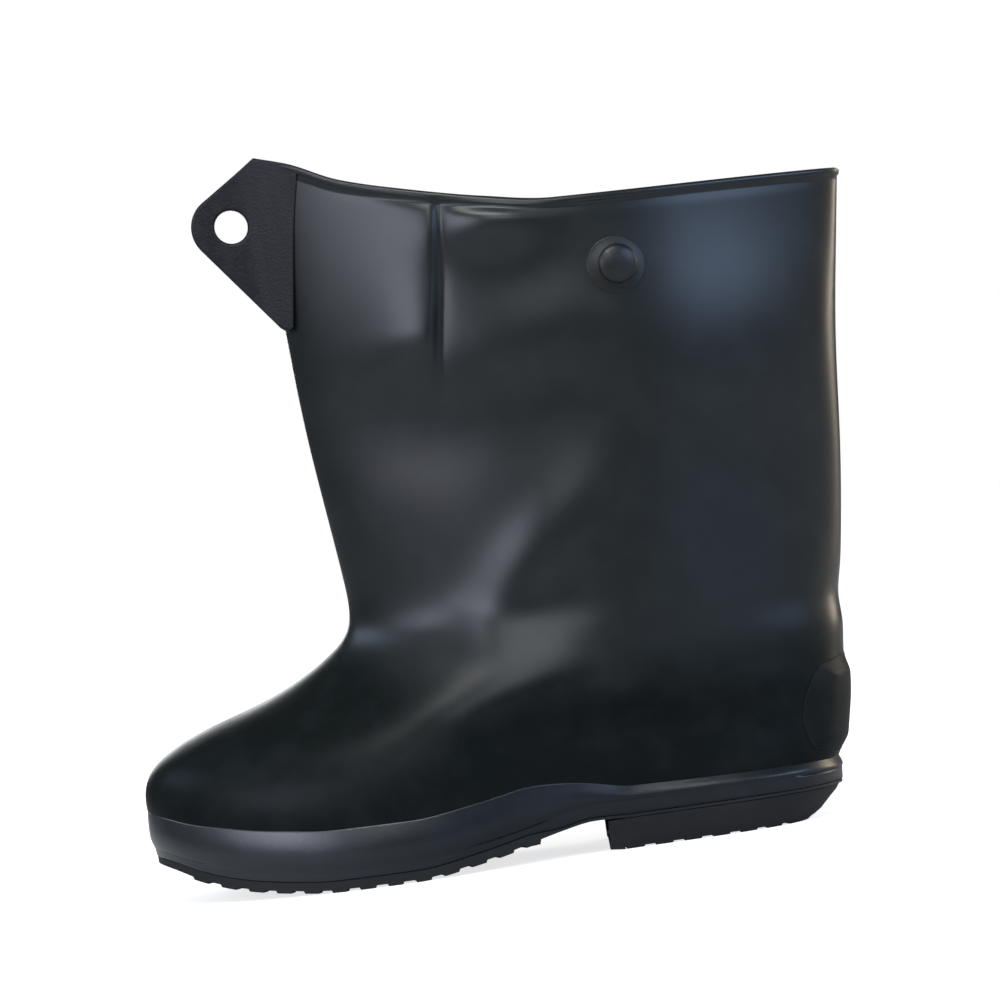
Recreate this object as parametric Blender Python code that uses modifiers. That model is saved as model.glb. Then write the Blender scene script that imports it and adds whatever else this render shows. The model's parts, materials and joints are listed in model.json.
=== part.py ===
"""A left rubber overshoe: a tall pull-on boot, worn over a shoe and closed by a strap tab.

A maker joins these pieces: a hollow upper with a wide slack shaft, a cleated outsole and a
heel under it, a foxing strip that wraps their joint, an insole, a counter patch on the back
of the heel, and a strap tab at the front whose hole buttons onto a stud on the outer side.

Frame: metres, +Z up, toe towards -X, outer side of the left foot towards -Y. The origin is
on the floor, in the middle of the heel.
"""

import math

import bmesh
import bpy
import numpy as np
from mathutils import Vector

MM = 0.001

# Foot
FOOT_LENGTH = 305.0 * MM
HEEL_BACK = 65.7 * MM
BALL_WIDTH = 106.0 * MM
HEEL_WIDTH = 76.0 * MM
INSTEP_HEIGHT = 110.0 * MM

# Shaft
COLLAR_HEIGHT = 271.0 * MM
COLLAR_RISE = 38.0 * MM
SHAFT_WIDTH = 86.0 * MM

# Walls and joints
FOOT_WALL = 2.6 * MM
SHAFT_WALL = 1.8 * MM
BEAD_PROUD = 1.0 * MM
BEAD_HEIGHT = 7.0 * MM
FIT_GAP = 0.3 * MM

# Sole
SOLE_THICKNESS = 9.0 * MM
HEEL_HEIGHT = 13.0 * MM
TOE_SPRING = 20.0 * MM
LUG_DEPTH = 3.5 * MM
LUG_LENGTH = 6.8 * MM
LUG_PITCH = 11.5 * MM
LUG_DRAFT = 0.5 * MM
LUG_CHEVRON = 8.0 * MM
LUGS_AHEAD = 7
LUGS_BEHIND = 5
SOLE_LIP = 2.0 * MM
SOLE_LIP_HEIGHT = 1.2 * MM
INSOLE_THICKNESS = 2.0 * MM
INSOLE_CLEARANCE = 0.8 * MM
FOXING_THICKNESS = 2.3 * MM
FOXING_HEIGHT = 26.0 * MM

# Heel
HEEL_LUG_LENGTH = 8.0 * MM
HEEL_LUG_PITCH = 12.0 * MM
HEEL_LUGS = 7
HEEL_BREAST_SLOPE = 6.5 * MM
HEEL_SIDE_TAPER = 2.0 * MM
HEEL_BACK_TAPER = 16.5 * MM

# Counter patch
COUNTER_THICKNESS = 2.0 * MM
COUNTER_BOTTOM = 26.5 * MM
COUNTER_TOP = 67.0 * MM
COUNTER_WRAP = math.radians(30)
COUNTER_CORNER = 0.3

# Strap tab and button
TAB_THICKNESS = 3.0 * MM
TAB_DROP = 75.0 * MM
TAB_TIP_DROP = 27.5 * MM
TAB_TIP_REACH = 17.5 * MM
TAB_TIP_RADIUS = 14.0 * MM
TAB_LAP = 18.0 * MM
TAB_LAP_LOW = 4.0 * MM
TAB_BEND = 3.0 * MM
TAB_CLEARANCE = 0.45 * MM
TAB_LEAVING_SLOPE = 0.6
TAB_HOLE_REACH = 14.5 * MM
TAB_HOLE_DIAMETER = 14.0 * MM
BUTTON_BACK = 11.3 * MM
BUTTON_DROP = 30.0 * MM
BUTTON_BASE_DIAMETER = 24.0 * MM
BUTTON_BASE_THICKNESS = 1.2 * MM
BUTTON_HEAD_DIAMETER = 16.5 * MM
BUTTON_HEAD_THICKNESS = 4.6 * MM
BUTTON_RIM_HEIGHT = 1.4 * MM
BUTTON_RIM_ROUNDING = 0.6 * MM
BUTTON_STEM_DIAMETER = 8.0 * MM
BUTTON_STEM_HEIGHT = 3.8 * MM

# How finely the curves are cut
RING_POINTS = 48
FOOT_LEVELS = 16
SHAFT_LEVELS = 10

# A section is a ring round the boot. Fronts and backs are shares of the foot's length forward
# of the heel's furthest point. Heights are shares of the instep's height in the foot, and of the
# rise from instep to collar in the shaft. Toe and ball widths are shares of the ball's width,
# waist and heel widths of the heel's width, and in the shaft all are shares of its width.
# A blunt end is fuller than an ellipse above 1. Swing bends the ring as the foot bends, and the
# last two columns say how far the ring follows the sole's line and the collar's line.
SECTION_COLUMNS = (
    "front", "front_height", "back", "back_height", "toe", "ball", "waist", "heel",
    "blunt_front", "blunt_back", "swing", "sole_follow", "collar_follow",
)
FOOT_SECTIONS = {
    "feather":   (0.9880, 0.236, 0.0400, 0.185, 0.98, 1.020, 0.95, 1.34, 1.50, 1.35, 1.00, 1.00, 0.0),
    "foxing":    (0.9955, 0.309, 0.0270, 0.255, 1.02, 1.060, 1.01, 1.37, 1.50, 1.35, 1.00, 0.82, 0.0),
    "toe_front": (1.0010, 0.409, 0.0190, 0.345, 1.02, 1.060, 1.08, 1.37, 1.45, 1.35, 1.00, 0.60, 0.0),
    "toe_shoulder": (0.9830, 0.532, 0.0120, 0.441, 0.97, 1.010, 1.13, 1.34, 1.36, 1.30, 1.00, 0.38, 0.0),
    "toe_top":   (0.9230, 0.630, 0.0080, 0.536, 0.87, 0.945, 1.16, 1.29, 1.20, 1.25, 0.90, 0.20, 0.0),
    "vamp_low":  (0.8520, 0.695, 0.0055, 0.636, 0.79, 0.895, 1.19, 1.22, 1.08, 1.20, 0.75, 0.10, 0.0),
    "vamp_high": (0.7820, 0.766, 0.0020, 0.736, 0.74, 0.870, 1.21, 1.17, 1.00, 1.12, 0.55, 0.04, 0.0),
    "instep":    (0.7165, 0.872, 0.0025, 0.836, 0.70, 0.850, 1.22, 1.11, 0.94, 1.02, 0.35, 0.0, 0.0),
}
SHAFT_SECTIONS = {
    "throat":    (0.6844, -0.010, -0.0055, -0.035, 0.84, 1.020, 1.07, 0.93, 0.90, 0.92, 0.20, 0.0, 0.0),
    "ankle":     (0.6835, 0.088, -0.0160, 0.087, 0.81, 1.010, 1.06, 0.88, 0.84, 0.84, 0.10, 0.0, 0.0),
    "shin":      (0.6966, 0.268, -0.0300, 0.298, 0.80, 0.990, 1.035, 0.84, 0.78, 0.77, 0.0, 0.0, 0.0),
    "calf":      (0.7093, 0.470, -0.0430, 0.550, 0.79, 0.980, 1.01, 0.81, 0.74, 0.74, 0.0, 0.0, 0.14),
    "top":       (0.7182, 0.735, -0.0600, 0.780, 0.78, 0.965, 0.99, 0.80, 0.72, 0.72, 0.0, 0.0, 0.52),
    "collar":    (0.7254, 1.000, -0.0780, 1.000, 0.77, 0.955, 0.98, 0.80, 0.70, 0.70, 0.0, 0.0, 1.0),
}
WIDTH_STATIONS = (0.06, 0.36, 0.64, 0.90)
SWING_STATIONS = (0.0, 0.06, 0.36, 0.64, 0.90, 1.0)
SWING_SHARES = (0.085, 0.075, -0.028, -0.045, 0.0, 0.005)

# The sole from heel back to toe tip, along the foot's length. Arch is a share of the heel's
# height, spring of the toe spring, thickness of the sole's, lug of the lugs' depth, and foxing
# of the foxing's height over the sole's underside.
SOLE_COLUMNS = ("along", "arch", "spring", "thickness", "lug", "foxing")
SOLE_LINE = {
    "heel_back":  (0.000, 1.00, 0.00, 0.83, 0.0, 0.42),
    "heel_front": (0.330, 1.00, 0.00, 0.83, 0.0, 0.50),
    "arch":       (0.385, 1.05, 0.00, 0.80, 0.0, 0.60),
    "waist":      (0.430, 0.90, 0.00, 0.80, 0.0, 0.76),
    "shank":      (0.486, 0.53, 0.00, 0.90, 1.0, 0.95),
    "ball_back":  (0.550, 0.24, 0.00, 0.97, 1.0, 0.97),
    "flat_back":  (0.630, 0.00, 0.00, 1.00, 1.0, 0.99),
    "flat_front": (0.735, 0.00, 0.00, 1.00, 1.0, 1.00),
    "toe_back":   (0.807, 0.00, 0.09, 1.00, 1.0, 1.02),
    "toe":        (0.866, 0.00, 0.23, 1.00, 1.0, 1.02),
    "toe_front":  (0.923, 0.00, 0.48, 0.97, 1.0, 0.96),
    "toe_rise":   (0.961, 0.00, 0.74, 0.88, 0.9, 0.90),
    "toe_tip":    (1.000, 0.00, 0.96, 0.80, 0.5, 0.86),
}

# The lugs are set out from the middle of the forefoot's flat spot, a share of the foot's length.
LUG_CENTRE = 0.675

# The heel's side from the top down: its height, and how far it has drawn in, as shares of the
# heel's height and of its taper.
HEEL_PROFILE = ((1.0, 0.08), (0.62, 0.34), (0.26, 0.63), (0.06, 0.93), (0.0, 1.0))
HEEL_TAPER_FALL_OFF = 6

# The collar's line from front to back, as shares of its rise over the back.
COLLAR_ALONG = (0.0, 0.06, 0.14, 0.26, 0.38, 0.50, 0.70, 1.0)
COLLAR_SHARES = (1.0, 0.86, 0.60, 0.36, 0.17, 0.04, 0.01, 0.0)

FEATHER_LEVEL = 0.0
COLLAR_LEVEL = float(len(FOOT_SECTIONS) + len(SHAFT_SECTIONS) - 1)
THROAT_LEVEL = float(len(FOOT_SECTIONS))


def natural_spline(knots, values, at):
    """The smooth cubic through values at knots, with no bend at its two ends."""
    knots = np.asarray(knots, float)
    values = np.asarray(values, float)
    spans = np.diff(knots)
    count = len(knots)
    system = np.eye(count)
    right = np.zeros_like(values)
    slopes = (np.diff(values, axis=0).T / spans).T
    for i in range(1, count - 1):
        system[i, i - 1:i + 2] = spans[i - 1], 2 * (spans[i - 1] + spans[i]), spans[i]
        right[i] = 6 * (slopes[i] - slopes[i - 1])
    bends = np.linalg.solve(system, right)
    i = np.clip(np.searchsorted(knots, at) - 1, 0, count - 2)
    far = ((at - knots[i]) / spans[i])
    near = 1 - far
    square = spans[i] ** 2 / 6
    weights = (near, far, (near ** 3 - near) * square, (far ** 3 - far) * square)
    if values.ndim > 1:
        weights = tuple(weight[:, None] for weight in weights)
    return (weights[0] * values[i] + weights[1] * values[i + 1]
            + weights[2] * bends[i] + weights[3] * bends[i + 1])


def steady_curve(knots, values, at):
    """A cubic through values that never overshoots them, so that a flat stretch stays flat."""
    knots = np.asarray(knots, float)
    values = np.asarray(values, float)
    spans = np.diff(knots)
    slopes = np.diff(values) / spans
    tangents = np.zeros(len(knots))
    tangents[0], tangents[-1] = slopes[0], slopes[-1]
    for i in range(1, len(knots) - 1):
        if slopes[i - 1] * slopes[i] > 0:
            tangents[i] = 2 * slopes[i - 1] * slopes[i] / (slopes[i - 1] + slopes[i])
    at = np.clip(at, knots[0], knots[-1])
    i = np.clip(np.searchsorted(knots, at) - 1, 0, len(knots) - 2)
    s = (at - knots[i]) / spans[i]
    return (values[i] * (1 + 2 * s) * (1 - s) ** 2 + values[i + 1] * s * s * (3 - 2 * s)
            + spans[i] * s * (1 - s) * (tangents[i] * (1 - s) - tangents[i + 1] * s))


def section_table():
    """The sections in metres, a row for each ring from the feather edge to the collar."""
    rows = []
    for shares in FOOT_SECTIONS.values():
        row = dict(zip(SECTION_COLUMNS, shares))
        for name in ("front_height", "back_height"):
            row[name] *= INSTEP_HEIGHT
        for name, width in (("toe", BALL_WIDTH), ("ball", BALL_WIDTH),
                            ("waist", HEEL_WIDTH), ("heel", HEEL_WIDTH)):
            row[name] *= width / 2
        rows.append(row)
    for shares in SHAFT_SECTIONS.values():
        row = dict(zip(SECTION_COLUMNS, shares))
        rise = COLLAR_HEIGHT - INSTEP_HEIGHT
        row["front_height"] = INSTEP_HEIGHT + row["front_height"] * (rise + COLLAR_RISE)
        row["back_height"] = INSTEP_HEIGHT + row["back_height"] * rise
        for name in ("toe", "ball", "waist", "heel"):
            row[name] *= SHAFT_WIDTH / 2
        rows.append(row)
    for row in rows:
        for name in ("front", "back"):
            row[name] = HEEL_BACK - row[name] * FOOT_LENGTH
    return np.array([[row[name] for name in SECTION_COLUMNS] for row in rows])


SECTIONS = section_table()


def sole_column(name, x):
    """One column of the sole's line at x, still as a share."""
    along = (HEEL_BACK - np.asarray(x, float)) / FOOT_LENGTH
    rows = np.array(list(SOLE_LINE.values()))
    return steady_curve(rows[:, 0], rows[:, SOLE_COLUMNS.index(name)], along)


def tread_height(x):
    """Height of the lugs' tips, or of the sole's underside where it has no lugs."""
    return HEEL_HEIGHT * sole_column("arch", x) + TOE_SPRING * sole_column("spring", x)


def under_height(x):
    """Height of the outsole's underside between its lugs."""
    return tread_height(x) + LUG_DEPTH * sole_column("lug", x)


def seat_height(x):
    """Height of the outsole's top, which the upper and insole stand on."""
    return tread_height(x) + SOLE_THICKNESS * sole_column("thickness", x)


def foxing_top(x):
    """Height of the foxing strip's upper edge."""
    return tread_height(x) + FOXING_HEIGHT * sole_column("foxing", x)


def outer_wall(level, angle):
    """Points of the upper's outer face.

    Level counts the sections from the feather edge. Angle runs from the toe at 0 along the outer
    side to the heel at pi, and back along the inner side. On each ring the length goes with the
    angle's cosine, and the half width with its sine, fuller or sharper at the ends.
    """
    level, angle = np.broadcast_arrays(np.asarray(level, float), np.asarray(angle, float))
    shape = level.shape
    level, angle = level.ravel(), angle.ravel()
    row = dict(zip(SECTION_COLUMNS, natural_spline(range(len(SECTIONS)), SECTIONS, level).T))
    along = (1 - np.cos(angle)) / 2
    x = row["front"] + (row["back"] - row["front"]) * along

    mixing = natural_spline(WIDTH_STATIONS, np.eye(len(WIDTH_STATIONS)), along)
    widths = np.stack([row[name] for name in ("toe", "ball", "waist", "heel")], axis=1)
    half = (mixing * widths).sum(axis=1)
    blunt = row["blunt_back"] + (row["blunt_front"] - row["blunt_back"]) * (1 - along)
    sine = np.sin(angle)
    swing = BALL_WIDTH * natural_spline(SWING_STATIONS, SWING_SHARES, along) * row["swing"]
    y = swing - half * (blunt * sine + (1 - blunt) * sine * np.abs(sine))

    first = dict(zip(SECTION_COLUMNS, SECTIONS[0]))
    last = dict(zip(SECTION_COLUMNS, SECTIONS[-1]))
    chord = row["front_height"] + (row["back_height"] - row["front_height"]) * along
    feather_chord = first["front_height"] + (first["back_height"] - first["front_height"]) * along
    feather_x = first["front"] + (first["back"] - first["front"]) * along
    sole_bend = seat_height(feather_x) + FIT_GAP - feather_chord
    collar_chord = last["front_height"] + (last["back_height"] - last["front_height"]) * along
    collar_line = COLLAR_HEIGHT + COLLAR_RISE * steady_curve(COLLAR_ALONG, COLLAR_SHARES, along)
    z = (chord + row["sole_follow"] * sole_bend
         + row["collar_follow"] * (collar_line - collar_chord))
    return np.stack([x, y, z], axis=1).reshape(*shape, 3)


def outer_normal(level, angle):
    """Unit normals of the upper's outer face, pointing out."""
    level, angle = np.broadcast_arrays(np.asarray(level, float), np.asarray(angle, float))
    step = 1e-3
    around = outer_wall(level, angle + step) - outer_wall(level, angle - step)
    up = (outer_wall(np.minimum(level + step, COLLAR_LEVEL), angle)
          - outer_wall(np.maximum(level - step, FEATHER_LEVEL), angle))
    normal = np.cross(around, up)
    return normal / np.linalg.norm(normal, axis=-1, keepdims=True)


def bead_share(level):
    """How much of the collar bead's step stands out at each level, from 0 to 1."""
    return np.interp(level, (COLLAR_LEVEL - 1.2 * bead_levels(), COLLAR_LEVEL - bead_levels(),
                             COLLAR_LEVEL - 0.15 * bead_levels(), COLLAR_LEVEL), (0, 1, 1, 0.45))


def bead_levels():
    """The bead's height in levels, at the back of the collar."""
    top, below = outer_wall(np.array([COLLAR_LEVEL, COLLAR_LEVEL - 1]), math.pi)[:, 2]
    return BEAD_HEIGHT / (top - below)


def wall_face(level, angle):
    """Points of the upper's outer face with the step of the collar bead."""
    proud = BEAD_PROUD * bead_share(level)
    return outer_wall(level, angle) + outer_normal(level, angle) * np.asarray(proud)[..., None]


def bead_clearance(level):
    """How far a lapped piece stands off the wall to clear the collar's bead, from 0 to 1."""
    return np.interp(level, (COLLAR_LEVEL - 2.6 * bead_levels(), COLLAR_LEVEL - 1.4 * bead_levels()), (0, 1))


def wall_at(x, z):
    """Level and angle of the outer side's points that have these x and z."""
    x, z = np.broadcast_arrays(np.asarray(x, float), np.asarray(z, float))
    level = np.full(x.shape, COLLAR_LEVEL - 1)
    angle = np.full(x.shape, math.pi / 2)
    step = 1e-3
    for _ in range(12):
        here = outer_wall(level, angle)
        by_level = (outer_wall(level + step, angle) - here) / step
        by_angle = (outer_wall(level, angle + step) - here) / step
        miss_x, miss_z = x - here[..., 0], z - here[..., 2]
        scale = by_level[..., 0] * by_angle[..., 2] - by_level[..., 2] * by_angle[..., 0]
        level = level + (miss_x * by_angle[..., 2] - miss_z * by_angle[..., 0]) / scale
        angle = angle + (miss_z * by_level[..., 0] - miss_x * by_level[..., 2]) / scale
        level = np.clip(level, FEATHER_LEVEL, COLLAR_LEVEL)
        angle = np.clip(angle, 0.02, math.pi - 0.02)
    return level, angle


def ring_angles():
    """The angles that every ring of the boot is cut at."""
    return np.linspace(0, 2 * math.pi, RING_POINTS, endpoint=False)


def plan_normals():
    """Level unit vectors pointing out from the feather edge, one for each ring angle."""
    normal = outer_normal(FEATHER_LEVEL, ring_angles())
    normal[:, 2] = 0
    return normal / np.linalg.norm(normal, axis=1, keepdims=True)


def cut_height(curve, x):
    """Height of one of the sole's curves as it is cut: straight between the ring angles."""
    rings = outer_wall(FEATHER_LEVEL, ring_angles()[: RING_POINTS // 2 + 1])[:, 0]
    return np.interp(x, rings, curve(rings))


def half_outlines(offset):
    """The feather edge moved outwards, split into its outer and inner half from toe to heel."""
    edge = outer_wall(FEATHER_LEVEL, ring_angles()) + plan_normals() * np.asarray(offset).reshape(-1, 1)
    half = RING_POINTS // 2
    outer = edge[:half + 1, :2]
    inner = np.vstack([edge[:1, :2], edge[:half - 1:-1, :2]])
    return outer, inner


def outline_at(outline, station):
    """Points of a half outline at fractional places along it."""
    places = np.arange(len(outline))
    return np.stack([np.interp(station, places, outline[:, k]) for k in (0, 1)], axis=1)


def rubber(name, color, roughness):
    """A plain rubber finish."""
    material = bpy.data.materials.new(name)
    material.use_nodes = True
    shader = material.node_tree.nodes["Principled BSDF"]
    shader.inputs["Base Color"].default_value = (*color, 1)
    shader.inputs["Roughness"].default_value = roughness
    shader.inputs["Metallic"].default_value = 0.0
    material.diffuse_color = (*color, 1)
    return material


def add_object(name, mesh, collection, material=None):
    """Puts a mesh in the scene under its node name."""
    piece = bpy.data.objects.new(name, mesh)
    collection.objects.link(piece)
    if material:
        mesh.materials.append(material)
    return piece


def closed_mesh(name, points, faces, outwards=True):
    """A mesh with its doubled points merged and, on a closed one, its faces pointing out."""
    mesh = bpy.data.meshes.new(name)
    mesh.from_pydata([tuple(point) for point in points], [], faces)
    work = bmesh.new()
    work.from_mesh(mesh)
    bmesh.ops.remove_doubles(work, verts=work.verts, dist=1e-6)
    bmesh.ops.dissolve_degenerate(work, edges=work.edges, dist=1e-7)
    if outwards:
        bmesh.ops.recalc_face_normals(work, faces=work.faces)
    work.to_mesh(mesh)
    work.free()
    return mesh


def grid_faces(rows, columns, wrap):
    """Quads of a grid of points, row by row, joined round each row if wrap is set."""
    faces = []
    for row in range(rows - 1):
        for column in range(columns if wrap else columns - 1):
            following = (column + 1) % columns
            faces.append((row * columns + column, row * columns + following,
                          (row + 1) * columns + following, (row + 1) * columns + column))
    return faces


def sleeve_mesh(name, profile):
    """A closed ring. Profile holds the points of a closed section at each ring angle."""
    around, section = profile.shape[:2]
    points = profile.reshape(-1, 3)
    faces = []
    for i in range(around):
        for j in range(section):
            ahead, beside = (i + 1) % around, (j + 1) % section
            faces.append((i * section + j, ahead * section + j,
                          ahead * section + beside, i * section + beside))
    return closed_mesh(name, points, faces)


def lengthwise_mesh(name, loops):
    """A solid skinned along the foot. Each station has one closed loop of points across it."""
    stations, count = loops.shape[:2]
    faces = []
    for i in range(stations - 1):
        for j in range(count):
            beside = (j + 1) % count
            faces.append((i * count + j, (i + 1) * count + j,
                          (i + 1) * count + beside, i * count + beside))
    for end in (0, stations - 1):
        if np.ptp(loops[end, :, 1]) > 1e-5:
            faces.append(tuple(end * count + j for j in range(count)))
    return closed_mesh(name, loops.reshape(-1, 3), faces)


def solidify(piece, thickness, offset):
    """Gives a sheet its thickness, along its normals or against them."""
    shell = piece.modifiers.new("wall", "SOLIDIFY")
    shell.thickness = thickness
    shell.offset = offset
    shell.use_even_offset = True
    shell.use_quality_normals = True
    return shell


def upper_levels():
    """The levels that the upper is cut at, closer together at the collar's bead."""
    foot = np.linspace(FEATHER_LEVEL, THROAT_LEVEL, FOOT_LEVELS)
    shaft = np.linspace(THROAT_LEVEL, COLLAR_LEVEL - 1.4 * bead_levels(), SHAFT_LEVELS)[1:]
    bead = COLLAR_LEVEL - bead_levels() * np.array([1.2, 1.0, 0.15, 0.0])
    return np.concatenate([foot, shaft, bead])


def make_upper(collection, material):
    """The hollow upper: one open sleeve of rubber, thinner in the shaft, with a bead at its top."""
    levels = upper_levels()
    angles = ring_angles()
    points = wall_face(levels[:, None], angles[None, :])
    mesh = bpy.data.meshes.new("upper")
    mesh.from_pydata(points.reshape(-1, 3).tolist(), [], grid_faces(len(levels), len(angles), True))
    piece = add_object("upper", mesh, collection, material)

    thickest = max(FOOT_WALL, SHAFT_WALL + BEAD_PROUD)
    wall = np.interp(levels, (THROAT_LEVEL - 1, THROAT_LEVEL + 1), (FOOT_WALL, SHAFT_WALL))
    wall = wall + BEAD_PROUD * bead_share(levels)
    group = piece.vertex_groups.new(name="wall")
    for row, thickness in enumerate(wall):
        first = row * len(angles)
        group.add(range(first, first + len(angles)), thickness / thickest, "REPLACE")
    shell = solidify(piece, thickest, -1)
    shell.vertex_group = "wall"
    return piece


def make_foxing(collection, material):
    """The foxing: a strip round the foot, over the joint of the upper and the outsole."""
    angles = ring_angles()
    edge = outer_wall(FEATHER_LEVEL, angles)
    trial = np.linspace(FEATHER_LEVEL, THROAT_LEVEL / 2, 81)
    heights = outer_wall(trial[:, None], angles[None, :])[..., 2]
    wanted = foxing_top(edge[:, 0])
    top = np.array([np.interp(wanted[i], heights[:, i], trial) for i in range(len(angles))])

    flat = plan_normals()
    low = edge.copy()
    low[:, 2] = under_height(edge[:, 0]) + SOLE_LIP_HEIGHT + FIT_GAP

    def face(share, offset):
        level = top * share
        return outer_wall(level, angles) + outer_normal(level, angles) * offset

    inner = FIT_GAP
    outer = FIT_GAP + FOXING_THICKNESS
    section = [
        low + flat * inner, edge + flat * inner,
        face(0.35, inner), face(0.7, inner), face(1.0, inner),
        face(1.0, inner + 0.5 * FOXING_THICKNESS), face(0.93, outer), face(0.6, outer),
        face(0.3, outer), edge + flat * outer, low + flat * (outer - 0.1 * FOXING_THICKNESS),
    ]
    return add_object("foxing", sleeve_mesh("foxing", np.stack(section, axis=1)), collection, material)


def lug_share(x, first, count, length, pitch):
    """1 on a lug, 0 in a groove, for a row of lugs that starts at first and runs towards +X."""
    places = np.concatenate([lug_corners(first + k * pitch, length) for k in range(count)])
    shares = np.tile((0.0, 1.0, 1.0, 0.0), count)
    return np.interp(x, places, shares, left=0.0, right=0.0)


def lug_corners(start, length):
    """Where a lug's front wall and rear wall begin and end."""
    return np.array([start, start + LUG_DRAFT, start + length - LUG_DRAFT, start + length])


def stations_along(outline, corners, first, last):
    """Places along a half outline: its own points and those at the given x, in order."""
    places = np.arange(len(outline))
    wanted = np.interp(corners, outline[:, 0], places)
    joined = np.sort(np.concatenate([places, wanted]))
    joined = joined[(joined >= first) & (joined <= last)]
    return joined[np.insert(np.diff(joined) > 1e-3, 0, True)]


def make_outsole(collection, material):
    """The outsole: a plate with toe spring and arch, a lip under the foxing, and chevron lugs."""
    centre = HEEL_BACK - LUG_CENTRE * FOOT_LENGTH
    first = centre + LUG_CHEVRON / 2 - LUG_LENGTH / 2 - LUGS_AHEAD * LUG_PITCH
    count = LUGS_AHEAD + 1 + LUGS_BEHIND
    edge_outer, edge_inner = half_outlines(0.0)
    lip_outer, lip_inner = half_outlines(SOLE_LIP)
    corners = np.concatenate([lug_corners(first + k * LUG_PITCH, LUG_LENGTH) for k in range(count)])
    station = stations_along(edge_outer, corners, 0, len(edge_outer) - 1)

    def rim(outline, height):
        plan = outline_at(outline, station)
        return np.column_stack([plan, height])

    outer, inner = outline_at(edge_outer, station), outline_at(edge_inner, station)
    x = outer[:, 0]
    share = lug_share(x, first, count, LUG_LENGTH, LUG_PITCH) * (sole_column("lug", x) > 0.5)
    seat, under = cut_height(seat_height, x), cut_height(under_height, x)
    bottom = under - LUG_DEPTH * share
    middle = (outer + inner) / 2
    chevron = middle.copy()
    chevron[:, 0] -= LUG_CHEVRON * np.sin(math.pi * station / station[-1]) * sole_column("lug", x)
    loop = [
        np.column_stack([middle, seat]),
        rim(edge_outer, seat), rim(edge_outer, under + SOLE_LIP_HEIGHT),
        rim(lip_outer, under + SOLE_LIP_HEIGHT), rim(lip_outer, bottom),
        np.column_stack([chevron, under_height(chevron[:, 0]) - LUG_DEPTH * share]),
        rim(lip_inner, bottom), rim(lip_inner, under + SOLE_LIP_HEIGHT),
        rim(edge_inner, under + SOLE_LIP_HEIGHT), rim(edge_inner, seat),
    ]
    mesh = lengthwise_mesh("outsole", np.stack(loop, axis=1))
    return add_object("outsole", mesh, collection, material)


def make_heel(collection, material):
    """The heel: a block under the outsole, rounded in at the back, with bars across its tread."""
    first = -(HEEL_LUGS // 2) * HEEL_LUG_PITCH - HEEL_LUG_LENGTH / 2
    last = first + (HEEL_LUGS - 1) * HEEL_LUG_PITCH + LUG_DRAFT
    breast = first - HEEL_BREAST_SLOPE
    outline, _ = half_outlines(SOLE_LIP)
    corners = np.concatenate(
        [lug_corners(first + k * HEEL_LUG_PITCH, HEEL_LUG_LENGTH) for k in range(HEEL_LUGS)])
    start = np.interp(breast, outline[:, 0], np.arange(len(outline)))
    station = stations_along(outline, np.append(corners, breast), start, len(outline) - 1)

    angles = ring_angles()
    towards_back = np.clip(-np.cos(angles), 0, 1) ** HEEL_TAPER_FALL_OFF
    taper = HEEL_SIDE_TAPER + (HEEL_BACK_TAPER - HEEL_SIDE_TAPER) * towards_back
    depth = HEEL_HEIGHT - FIT_GAP
    sides = []
    for height, inset in HEEL_PROFILE:
        outer, inner = half_outlines(SOLE_LIP - inset * taper)
        sides.append((height * depth, outline_at(outer, station), outline_at(inner, station)))

    x = outline_at(outline, station)[:, 0]
    share = lug_share(x, first, HEEL_LUGS, HEEL_LUG_LENGTH, HEEL_LUG_PITCH)
    share[(x > last) | (station == station[0])] = 1.0
    floor = LUG_DEPTH * (1 - share)
    outer_points, inner_points = [], []
    for height, outer, inner in sides:
        level = np.maximum(np.full(len(station), height), floor)
        lean = np.zeros(len(station))
        lean[0] = HEEL_BREAST_SLOPE * (1 - height / depth)
        outer_points.append(np.column_stack([outer[:, 0] + lean, outer[:, 1], level]))
        inner_points.append(np.column_stack([inner[:, 0] + lean, inner[:, 1], level]))
    loop = np.stack(outer_points + inner_points[::-1], axis=1)
    return add_object("heel", lengthwise_mesh("heel", loop), collection, material)


def make_insole(collection, material):
    """The insole: a thin sheet on the outsole, inside the upper's wall."""
    inset = -(FOOT_WALL + INSOLE_CLEARANCE)
    outer, inner = half_outlines(inset)
    station = np.arange(len(outer)).astype(float)
    middle = (outer + inner) / 2

    def rim(plan, lift):
        return np.column_stack([plan, cut_height(seat_height, plan[:, 0]) + FIT_GAP + lift])

    loop = [rim(middle, INSOLE_THICKNESS), rim(outer, INSOLE_THICKNESS), rim(outer, 0),
            rim(middle, 0), rim(inner, 0), rim(inner, INSOLE_THICKNESS)]
    mesh = lengthwise_mesh("insole", np.stack(loop, axis=1)[: len(station)])
    return add_object("insole", mesh, collection, material)


def make_counter(collection, material):
    """The counter patch: a thick shield of rubber bonded over the back of the heel."""
    back_heights = outer_wall(np.linspace(0, THROAT_LEVEL, 81), math.pi)[:, 2]
    low, high = np.interp((COUNTER_BOTTOM, COUNTER_TOP), back_heights, np.linspace(0, THROAT_LEVEL, 81))
    rows, columns = 11, 13
    b, a = np.meshgrid(np.linspace(-1, 1, rows), np.linspace(-1, 1, columns), indexing="ij")
    across = a * np.sqrt(1 - COUNTER_CORNER * b * b)
    upwards = b * np.sqrt(1 - COUNTER_CORNER * a * a)
    angle = math.pi + COUNTER_WRAP * across
    level = (low + high) / 2 + (high - low) / 2 * upwards
    clearance = 1.2 * FIT_GAP
    points = outer_wall(level, angle) + outer_normal(level, angle) * clearance
    mesh = bpy.data.meshes.new("counter")
    mesh.from_pydata(points.reshape(-1, 3).tolist(), [], grid_faces(rows, columns, False))
    piece = add_object("counter", mesh, collection, material)
    solidify(piece, COUNTER_THICKNESS, 1)
    return piece


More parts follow.
